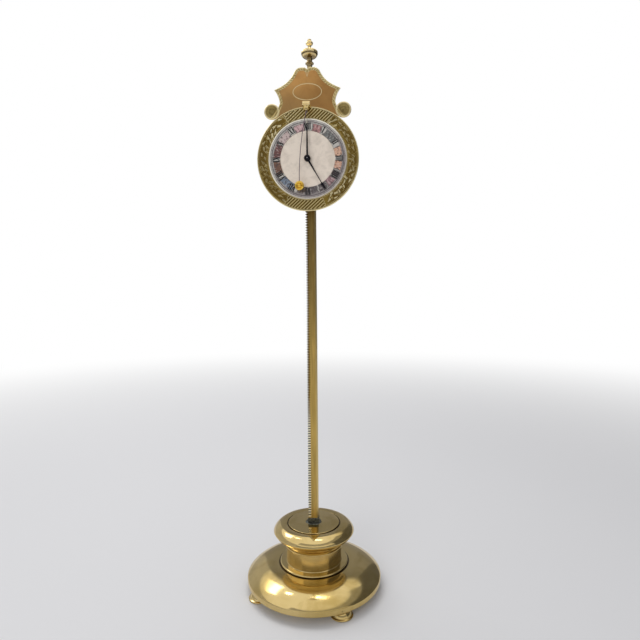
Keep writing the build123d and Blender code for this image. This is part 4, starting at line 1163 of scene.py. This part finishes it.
def offset_line(path, distance, side):
    """An open line moved to its left, or to its right for the mirrored side."""
    points = np.array(path)
    ahead = np.gradient(points, axis=0)
    ahead /= np.linalg.norm(ahead, axis=1)[:, None] + 1e-12
    normal = np.stack([-ahead[:, 1], ahead[:, 0]], axis=1) * side
    return [tuple(p) for p in points + normal * distance]


def make_chapter_ring(scene):
    size = scene.clock_dial
    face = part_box("chapter_ring")[0].y + 0.6 * MM
    outer, inner = size.ring_radius / MM, size.centre_radius / MM
    profile = [(inner, 0.9), (inner, 0.0), (35.6, 0.0)]
    profile += arc((35.6, 0.0), (36.0, -0.28), (36.4, 0.0), 6)[1:]
    profile += [(36.9, 0.0)] + arc((37.0, 0.0), (37.7, -0.6), (38.4, 0.0), 10)
    profile += [(outer, 0.15), (outer, 0.9), (inner, 0.9)]
    form = turned([(r * MM, face + y * MM) for r, y in profile], 256, DIAL_CENTRE, False)
    shown("chapter_ring_turned", form, "silvered_ring", "carriage", ["chapter_ring"], 50)
    marks = []
    for hour, letters in enumerate("XII I II III IIII V VI VII VIII IX X XI".split()):
        marks += numeral(letters, math.radians(-30 * hour), size.numeral_height, face)
    for minute in range(60):
        wide = 0.14 * MM if minute % 5 else 0.24 * MM
        marks.append(bar_form(polar(34.75 * MM, 6 * minute), polar(35.55 * MM, 6 * minute), wide, face))
    shown("hour_numerals", joined(*marks), "numeral_black", "carriage", (), 30)


def bar_form(start, end, width, face):
    """A thin inlaid bar on the ring's face, between two points round the dial centre."""
    start, end = np.array(start), np.array(end)
    along = (end - start) / np.linalg.norm(end - start)
    across = np.array((-along[1], along[0])) * width / 2
    corners = [start - across, end - across, end + across, start + across]
    return prism([(x, z + DIAL_Z) for x, z in corners], face - 0.06 * MM, face + 0.05 * MM)


# Each letter's width, and for each of its bars the side of its top, of its foot, and its width, in mm.
THICK, THIN = 1.15, 0.5
LETTERS = {
    "I": (1.75, ((0, 0, THICK),)),
    "V": (3.5, ((-1, 0, THICK), (1, 0, THIN))),
    "X": (3.6, ((-1, 1, THICK), (1, -1, THIN))),
}


def numeral(letters, turn, height, face):
    """Bars of one Roman numeral that reads outwards from the dial centre."""
    foot_r, serif = 28.0 * MM, 0.42 * MM
    half = sum(LETTERS[letter][0] for letter in letters) * MM / 2
    left, bars = -half, []
    for letter in letters:
        wide, strokes = LETTERS[letter]
        middle, spread = left + wide * MM / 2, ((wide - THICK) / 2 - 0.1) * MM
        for top, foot, thick in strokes:
            bars.append((middle + top * spread, height, middle + foot * spread, 0.0, thick * MM))
        left += wide * MM
    bars += [(-half, level, half, level, serif) for level in (serif / 2, height - serif / 2)]
    return [
        bar_form(swung(x1, foot_r + z1, turn), swung(x2, foot_r + z2, turn), thick, face)
        for x1, z1, x2, z2, thick in bars
    ]


def make_dial_centre(scene):
    low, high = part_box("dial_centre")
    radius, hole = scene.clock_dial.centre_radius, 2.6 * MM
    rounded = ((radius - 0.8 * MM, low.y), (radius - 0.5 * MM, low.y - 0.1 * MM))
    profile = [(hole, high.y), (hole, low.y), (radius - 0.9 * MM, low.y)]
    profile += arc(*rounded, (radius - 0.2 * MM, low.y + 0.05 * MM), 6)
    profile += [(radius - 0.1 * MM, low.y + 0.3 * MM), (radius - 0.1 * MM, high.y), (hole, high.y)]
    form = turned(profile, 200, DIAL_CENTRE, False)
    shown("dial_centre_white", form, "dial_white", "carriage", ["dial_centre"], 50)


# Hands, pendulum and cock


def ridged_hand(half, degrees, front, thickness, hub_r, hole_r):
    """A hand with a ridge along its middle: half holds the distance along it and the half width."""
    back, flank = front + thickness, front + thickness * 0.45
    verts = []
    for along, wide in half:
        for aside, y in ((-wide, flank), (0.0, front), (wide, flank), (wide, back), (-wide, back)):
            x, z = swung(along, aside, math.radians(degrees))
            verts.append((x, y, z + DIAL_Z))
    ring = tube_form(DIAL_CENTRE, hole_r, hub_r, front + thickness * 0.15, back, 72)
    return joined((verts, tube_faces(len(half), 5)), ring)


def make_hands(scene):
    size = scene.clock_hands
    radius, pin = size.hub_radius, 0.62 * MM
    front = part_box("minute_hand")[0].y
    half = [(2.2, 0.9), (6, 0.84), (18, 0.72), (30, 0.5), (size.minute_length / MM, 0.32)]
    form = ridged_hand(scaled(half), 90, front, size.thickness, 2.65 * MM, 1.4 * MM)
    shown("minute_hand_filed", form, "minute_steel", "minute_work", ["minute_hand"], 25)
    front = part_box("hour_hand")[0].y
    half = [(2.4, 0.95), (9, 0.78), (15, 0.5), (22, 0.34), (26.6, 0.36), (28.1, 1.2), (29.2, 1.12)]
    half += [(31.2, 0.5), (size.hour_length / MM, 0.12)]
    form = ridged_hand(scaled(half), -60, front, size.thickness, radius, 2.2 * MM)
    shown("hour_hand_filed", form, "blued_steel", "hour_work", ["hour_hand"], 25)
    low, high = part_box("hand_nut")
    dome = ((radius - 0.05 * MM, high.y - 0.35 * MM), (radius * 0.72, low.y + 0.4 * MM), (pin, low.y))
    profile = [(0.0, high.y), (radius - 0.15 * MM, high.y), (radius, high.y - 0.2 * MM)]
    profile += arc(*dome, 14) + [(0.0, low.y + 0.1 * MM)]
    form = turned(profile, 72, DIAL_CENTRE, False)
    shown("hand_nut_domed", form, "blued_steel", "minute_work", ["hand_nut"], 50)
    seat = low.y + 0.5 * MM
    profile = [(0.0, seat), (pin, seat), (pin, low.y), (0.0, low.y - 0.15 * MM)]
    form = turned(profile, 40, DIAL_CENTRE, False)
    shown("centre_pin_end", form, "turned_steel", "minute_work")


def middle_of(node):
    """Level and upright place of the middle of a node's box."""
    low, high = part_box(node)
    return (low.x + high.x) / 2, (low.z + high.z) / 2


def wire_form(path, y, radius, steps=14):
    """A round wire along a path of level and upright places, thicker where it is set in the collet."""
    points = np.array(path)
    ahead = np.gradient(points, axis=0)
    ahead /= np.linalg.norm(ahead, axis=1)[:, None]
    verts = []
    for row, ((x, z), (level, upright)) in enumerate(zip(points, ahead)):
        for aside, out in circle((0.0, 0.0), radius * (1.7 if row < 2 else 1.0), steps):
            verts.append((x + upright * aside, y + out, z - level * aside))
    return verts, tube_faces(len(points), steps)


def make_pendulum(scene):
    size = scene.clock_hands
    low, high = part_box("pendulum_rod")
    wire_y = (low.y + high.y) / 2
    pivot, bob_at = middle_of("pendulum_arbor"), middle_of("pendulum_bob")
    lean = math.degrees(math.atan2(pivot[0] - bob_at[0], pivot[1] - bob_at[1]))
    half = (math.dist(pivot, bob_at) - size.bob_radius - 0.75 * MM) / 2
    end_lean = lean - math.degrees(2 * math.atan(size.wire_bow / half))
    start = polar(0.95 * MM, -90 - lean, pivot)
    end = polar(size.bob_radius - 0.6 * MM, 90 - end_lean, bob_at)
    bent = polar(size.wire_bow, 180 - lean, ((start[0] + end[0]) / 2, (start[1] + end[1]) / 2))
    wire = wire_form(arc(start, bent, end, 32), wire_y, size.wire_radius)
    form = joined(wire, tube_form(pivot, 0.75 * MM, 1.5 * MM, low.y, high.y, 48))
    shown("pendulum_wire", form, "wire_steel", "pendulum", ["pendulum_rod"], 40)

    r = size.bob_radius / MM
    profile = arc((0, -2.0), (1.2, -1.7), (2.1, -0.6), 12) + arc((2.4, -0.6), (3.4, -1.3), (r, -0.1), 16)
    profile += arc((r, 0.15), (r * 0.72, 1.0), (0, 1.5), 12)
    form = turned([(wide, wire_y + y) for wide, y in scaled(profile)], 72, bob_at, False)
    shown("bob_turned", form, "gilt", "pendulum", ["pendulum_bob"], 55)


def make_cock(scene):
    low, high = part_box("pendulum_cock")
    pivot = middle_of("pendulum_arbor")
    seat_z, lip_h, wide = pivot[1] + 3.3 * MM, 1.1 * MM, 3.65 * MM
    front, behind = low.y + 0.3 * MM, PLATE_FRONT - 0.1 * MM
    block = block_form(wide, seat_z + lip_h, high.z, front, behind)
    shown("cock_block", block, "pale_gilt", "carriage", ["pendulum_cock"], 30, 0.35 * MM)
    foot = block_form(wide, DIAL_Z + 50.1 * MM, high.z, behind, CREST_FRONT)
    shown("cock_foot", foot, "pale_gilt", "carriage", (), 30, 0.2 * MM)
    lip = block_form(wide + 0.3 * MM, seat_z, seat_z + lip_h, low.y, behind)
    shown("cock_lip", lip, "pale_gilt", "carriage", (), 30, 0.3 * MM)
    outline = [(-2.85 * MM, seat_z), (-1.5 * MM, pivot[1])]
    outline += [polar(1.5 * MM, a, pivot) for a in range(200, 341, 20)]
    outline += [(1.5 * MM, pivot[1]), (2.85 * MM, seat_z)]
    nose = prism(outline, front, front + 1.6 * MM)
    shown("cock_nose", nose, "polished_brass", "carriage", (), 30, 0.2 * MM)
    # Dark cups in the pivot hole and a screw hole are painted shade.
    screw_hole = (0.9 * MM, seat_z - 0.7 * MM)
    hole_shade = joined(cup_form(pivot, 0.85 * MM, front), cup_form(screw_hole, 0.6 * MM, front))
    shown("cock_hole_shade", hole_shade, "blued_steel", "carriage", (), 30)


def cup_form(centre, radius, front):
    """A dark cup, a little proud of the face that the hole is drilled in: painted shade in the mouth of a
    small hole.
    """
    profile = [(0.0, front + 0.02 * MM), (radius * 0.9, front - 0.02 * MM), (radius, front + 0.05 * MM)]
    profile += [(0.0, front + 0.1 * MM)]
    return turned(profile, 28, centre, False)


# Fasteners and the movement


def screw_form(centre, radius, face, height, slot_turn):
    """A slotted cheese head that stands out backwards from a face."""
    middle, steps, slot_share = face + height * 0.5, 14, 0.16
    lowest = math.asin(slot_share)
    profile = eased([(0.0, face), (radius, face), (radius, middle), (0.0, middle)], 0.02 * MM)
    forms = [turned(profile, 40, centre, False)]
    for side in (1, -1):
        outline = []
        for i in range(steps + 1):
            turn = lowest + (math.pi - 2 * lowest) * i / steps
            x, z = swung(radius * math.cos(turn), side * radius * math.sin(turn), slot_turn)
            outline.append((centre[0] + x, centre[1] + z))
        forms.append(prism(outline, middle, face + height))
    return joined(*forms)


def make_screws(scene):
    plate_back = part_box("back_plate")[1].y
    forms = []
    for i, (x, z) in enumerate(scaled([(24.0, -19.5), (-24.0, -19.5), (13.0, 48.5), (-13.0, 48.5)])):
        forms.append(screw_form((x, DIAL_Z + z), 2.2 * MM, plate_back, 1.1 * MM, 0.5 + i * 1.3))
    low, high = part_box("rear_bridge")
    for i, x in enumerate((low.x + 4.2 * MM, high.x - 4.2 * MM)):
        forms.append(screw_form((x, (low.z + high.z) / 2), 1.9 * MM, high.y, 1.0 * MM, 1.1 + i))
    for name in ("upper_rack_guide", "lower_rack_guide"):
        low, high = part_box(name)
        for i, x in enumerate((-7.7 * MM, 7.7 * MM)):
            place = (x, (low.z + high.z) / 2)
            forms.append(screw_form(place, 1.7 * MM, high.y, 0.9 * MM, 0.3 + i * 0.8))
    shown("screws_back", joined(*forms), "turned_steel", "carriage", (), 30)


CARRIED = {
    "dark_socket": "rack_socket",
    "turned_steel": """
        tie_rod tie_nut great_arbor ratchet_wheel second_arbor third_arbor escape_arbor pendulum_arbor
        anchor cannon_pinion roller_stud guide_roller""",
    "blued_steel": "click click_spring",
    "movement_brass": """
        front_plate back_plate pillars dial_feet centre_stud great_wheel second_wheel third_wheel
        escape_wheel motion_drive hour_wheel upper_rack_guide lower_rack_guide rear_bridge""",
}


def dress_nodes():
    """Gives the CAD nodes that no piece replaces their finishes."""
    for name, nodes in CARRIED.items():
        for node in nodes.split():
            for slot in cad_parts[node].material_slots:
                slot.material = finish(name)


# Stage


def staged(name, form, material):
    """A piece of the set, which isn't part of the clock."""
    mesh = bpy.data.meshes.new(name)
    mesh.from_pydata(form[0], [], form[1])
    mesh.materials.append(material)
    obj = bpy.data.objects.new(name, mesh)
    bpy.context.scene.collection.objects.link(obj)
    obj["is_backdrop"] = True
    return obj


def make_stage(scene):
    scene.view_settings.view_transform = "Standard"
    floor = turned([(radius, 0.0) for radius in (0.0, 0.5, 1.2, 3.0, 9.0)], 96)
    staged("floor", floor, floor_finish())
    world = bpy.data.worlds.new("studio")
    scene.world = world
    world.use_nodes = True
    sheet = Sheet(world.node_tree)
    back = world.node_tree.nodes["Background"]
    sheet.feed(back.inputs["Color"], sheet.mix(seen_rays(sheet), (0.42, 0.42, 0.43), (1.0, 1.0, 1.0)))
    hang_lamps(scene)
    make_cards()
    make_camera(scene)


# Angle from the camera's side, height angle, distance, width, height and power.
LAMPS = (
    ("window_left", -130, 46, 1.55, 0.7, 0.36, 3.0),
    ("spot_left", -133, 62, 1.5, 0.12, 0.12, 0.4),
    ("window_overhead", 155, 79, 1.6, 0.36, 0.16, 1.2),
    ("soft_front", -25, 16, 1.5, 1.0, 0.6, 5.8),
    ("soft_back", -165, 62, 1.6, 0.8, 0.8, 7.6),
)

# First and last angle from the camera's side, lower and upper edge, and shade.
CARDS = (
    ("front_card_low", -50, 60, 0.25, 0.95, 0.48),
    ("front_card_high", -50, 60, 1.25, 2.4, 0.8),
    ("right_card", 60, 150, 0.0, 1.6, 0.18),
    ("right_card_high", 60, 128, 1.6, 2.6, 0.75),
    ("back_card", 150, 200, 0.0, 1.6, 0.4),
    ("left_card", -160, -50, 0.0, 1.1, 0.7),
)


def hang_lamps(scene):
    """Soft lamps round the clock. The two soft ones light the dial and the floor and don't glint."""
    aim = Vector((0.0, 0.0, 0.2))
    for name, aside, rise, far, wide, high, power in LAMPS:
        lamp = bpy.data.lights.new(name, "AREA")
        lamp.shape = "RECTANGLE"
        lamp.size, lamp.size_y = wide, high
        lamp.energy = power
        obj = bpy.data.objects.new(name, lamp)
        scene.collection.objects.link(obj)
        level, height = polar(far, rise)
        away = Vector((*polar(level, CAMERA_BEARING + aside), height))
        obj.location = aim + away
        obj.rotation_euler = (-away).to_track_quat("-Z", "Y").to_euler()
        obj.visible_glossy = not name.startswith("soft")


def card_form(start, end, low, high, steps=24):
    """An upright curved card, between two angles from the camera's side and two heights."""
    away = 1.6
    turns = [CAMERA_BEARING + start + (end - start) * i / steps for i in range(steps + 1)]
    verts = [(*polar(away, turn), height) for turn in turns for height in (low, high)]
    return verts, [(i, i + 2, i + 3, i + 1) for i in range(0, 2 * steps, 2)]


def make_cards():
    """Grey cards round the set: polished metal shows them between stretches of the white backdrop."""
    for name, start, end, low, high, shade in CARDS:
        sheet = Finish(name)
        paper = sheet.noise(sheet.place(), 3.0, 2.0)
        tone = (shade, shade * 1.01, shade * 1.03)
        sheet.set(base_color=sheet.tint(tone, between(0.85, 1.15, paper)), roughness=0.9)
        card = staged(name, card_form(start, end, low, high), sheet.material)
        card.visible_camera = False
        card.visible_diffuse = False
        card.visible_shadow = False


def seen_rays(sheet):
    """1 for the rays that show the background: the camera's, and those seen in metal or glass."""
    camera, glossy, through = [
        sheet.node("ShaderNodeLightPath", output=name)
        for name in ("Is Camera Ray", "Is Glossy Ray", "Is Transmission Ray")
    ]
    return sheet.step(camera + glossy + through, 0.0, 1.0)


def floor_finish():
    """Pale floor that takes the object's shadow and turns to the white of the backdrop far out."""
    sheet = Finish("floor")
    x, y, z = sheet.axes()
    far = sheet.step(sheet.radius(x, y), 0.45, 1.9)
    sheet.set(base_color=(0.8, 0.8, 0.81, 1.0), roughness=0.75)
    glow = sheet.node("ShaderNodeEmission", None, {"Color": (1.0, 1.0, 1.0, 1.0), "Strength": 1.0})
    plain = Wire(sheet, sheet.shader.outputs[0])
    both = sheet.node("ShaderNodeMixShader", None, {0: far * seen_rays(sheet), 1: plain, 2: glow})
    sheet.feed(sheet.tree.nodes["Material Output"].inputs["Surface"], both)
    return sheet.material


def make_camera(scene):
    """The photograph's view: a little above the middle, from just right of the dial's front."""
    size = scene.clock_stage
    pitch, yaw, roll = [math.radians(angle) for angle in (4.5, -0.9, -0.46)]
    camera = bpy.data.cameras.new("camera")
    camera.sensor_width = 36.0
    camera.lens = 28.97
    obj = bpy.data.objects.new("camera", camera)
    scene.collection.objects.link(obj)
    place = Vector((*polar(size.distance, CAMERA_BEARING), size.height))
    turn = Matrix.Rotation(math.radians(CAMERA_SIDE) + yaw, 4, "Z")
    turn = turn @ Matrix.Rotation(math.pi / 2 - pitch, 4, "X") @ Matrix.Rotation(roll, 4, "Z")
    obj.matrix_world = Matrix.Translation(place) @ turn
    scene.camera = obj


# Operators and panel


class RACK_CLOCK_OT_feet(bpy.types.Operator):
    """Turns the four bun feet"""

    bl_idname = "rack_clock.feet"
    bl_label = "Feet"

    def execute(self, context):
        make_feet(context.scene)
        return {"FINISHED"}


class RACK_CLOCK_OT_base(bpy.types.Operator):
    """Turns the heavy domed base"""

    bl_idname = "rack_clock.base"
    bl_label = "Base"

    def execute(self, context):
        make_base(context.scene)
        return {"FINISHED"}


class RACK_CLOCK_OT_column(bpy.types.Operator):
    """Turns the bead, the neck and the cove above the base"""

    bl_idname = "rack_clock.column"
    bl_label = "Column"

    def execute(self, context):
        make_column(context.scene)
        return {"FINISHED"}


class RACK_CLOCK_OT_drum(bpy.types.Operator):
    """Turns the drum and the disc on it"""

    bl_idname = "rack_clock.drum"
    bl_label = "Drum"

    def execute(self, context):
        make_drum(context.scene)
        return {"FINISHED"}


class RACK_CLOCK_OT_socket(bpy.types.Operator):
    """Makes the washer round the rack's socket"""

    bl_idname = "rack_clock.socket"
    bl_label = "Socket"

    def execute(self, context):
        make_socket(context.scene)
        return {"FINISHED"}


class RACK_CLOCK_OT_rack(bpy.types.Operator):
    """Cuts the rack's teeth"""

    bl_idname = "rack_clock.rack"
    bl_label = "Rack"

    def execute(self, context):
        make_rack(context.scene)
        return {"FINISHED"}


class RACK_CLOCK_OT_finial(bpy.types.Operator):
    """Turns the finial on the rack"""

    bl_idname = "rack_clock.finial"
    bl_label = "Finial"

    def execute(self, context):
        make_finial(context.scene)
        return {"FINISHED"}


class RACK_CLOCK_OT_dial_plate(bpy.types.Operator):
    """Engraves the round plate"""

    bl_idname = "rack_clock.dial_plate"
    bl_label = "Dial plate"

    def execute(self, context):
        make_dial_plate(context.scene)
        return {"FINISHED"}


class RACK_CLOCK_OT_crest(bpy.types.Operator):
    """Engraves the crest with its two volutes"""

    bl_idname = "rack_clock.crest"
    bl_label = "Crest"

    def execute(self, context):
        make_crest(context.scene)
        return {"FINISHED"}


class RACK_CLOCK_OT_chapter_ring(bpy.types.Operator):
    """Turns the silvered ring and lays in its numerals"""

    bl_idname = "rack_clock.chapter_ring"
    bl_label = "Chapter ring"

    def execute(self, context):
        make_chapter_ring(context.scene)
        return {"FINISHED"}


class RACK_CLOCK_OT_dial_centre(bpy.types.Operator):
    """Makes the matte white centre"""

    bl_idname = "rack_clock.dial_centre"
    bl_label = "Dial centre"

    def execute(self, context):
        make_dial_centre(context.scene)
        return {"FINISHED"}


class RACK_CLOCK_OT_hands(bpy.types.Operator):
    """Files both hands and domes their nut"""

    bl_idname = "rack_clock.hands"
    bl_label = "Hands"

    def execute(self, context):
        make_hands(context.scene)
        return {"FINISHED"}


class RACK_CLOCK_OT_pendulum(bpy.types.Operator):
    """Makes the wire and its bob"""

    bl_idname = "rack_clock.pendulum"
    bl_label = "Pendulum"

    def execute(self, context):
        make_pendulum(context.scene)
        return {"FINISHED"}


class RACK_CLOCK_OT_cock(bpy.types.Operator):
    """Makes the cock that carries the pendulum"""

    bl_idname = "rack_clock.cock"
    bl_label = "Cock"

    def execute(self, context):
        make_cock(context.scene)
        return {"FINISHED"}


class RACK_CLOCK_OT_screws(bpy.types.Operator):
    """Adds the slotted screws of the movement"""

    bl_idname = "rack_clock.screws"
    bl_label = "Screws"

    def execute(self, context):
        make_screws(context.scene)
        return {"FINISHED"}


class RACK_CLOCK_OT_finishes(bpy.types.Operator):
    """Gives the carried parts their finishes"""

    bl_idname = "rack_clock.finishes"
    bl_label = "Finishes"

    def execute(self, context):
        dress_nodes()
        return {"FINISHED"}


class RACK_CLOCK_OT_stage(bpy.types.Operator):
    """Sets the floor, the lamps, the cards and the camera"""

    bl_idname = "rack_clock.stage"
    bl_label = "Stage"

    def execute(self, context):
        make_stage(context.scene)
        return {"FINISHED"}


OPERATORS = (
    RACK_CLOCK_OT_feet,
    RACK_CLOCK_OT_base,
    RACK_CLOCK_OT_column,
    RACK_CLOCK_OT_drum,
    RACK_CLOCK_OT_socket,
    RACK_CLOCK_OT_rack,
    RACK_CLOCK_OT_finial,
    RACK_CLOCK_OT_dial_plate,
    RACK_CLOCK_OT_crest,
    RACK_CLOCK_OT_chapter_ring,
    RACK_CLOCK_OT_dial_centre,
    RACK_CLOCK_OT_hands,
    RACK_CLOCK_OT_pendulum,
    RACK_CLOCK_OT_cock,
    RACK_CLOCK_OT_screws,
    RACK_CLOCK_OT_finishes,
    RACK_CLOCK_OT_stage,
)


class RACK_CLOCK_PT_panel(bpy.types.Panel):
    """Lists the pieces of the clock."""

    bl_idname = "RACK_CLOCK_PT_panel"
    bl_label = "Rack clock"
    bl_space_type = "VIEW_3D"
    bl_region_type = "UI"
    bl_category = "Clock"

    def draw(self, context):
        for kind in OPERATORS:
            self.layout.operator(kind.bl_idname)


GROUPS = {
    "clock_stand": StandSizes,
    "clock_dial": DialSizes,
    "clock_hands": HandSizes,
    "clock_colours": ClockColours,
    "clock_stage": StageSizes,
}


def register():
    for name, group in GROUPS.items():
        bpy.utils.register_class(group)
        setattr(bpy.types.Scene, name, bpy.props.PointerProperty(type=group))
    for kind in OPERATORS + (RACK_CLOCK_PT_panel,):
        bpy.utils.register_class(kind)


def unregister():
    for kind in reversed(OPERATORS + (RACK_CLOCK_PT_panel,)):
        bpy.utils.unregister_class(kind)
    for name, group in reversed(GROUPS.items()):
        delattr(bpy.types.Scene, name)
        bpy.utils.unregister_class(group)


def main():
    register()
    for kind in OPERATORS:
        getattr(bpy.ops.rack_clock, kind.bl_idname.split(".")[1])()
    boxes = {"cad": cad_box, "visual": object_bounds()}
    sizes = {name: [list(corner) for corner in box] for name, box in boxes.items()}


if __name__ == "__main__":
    main()
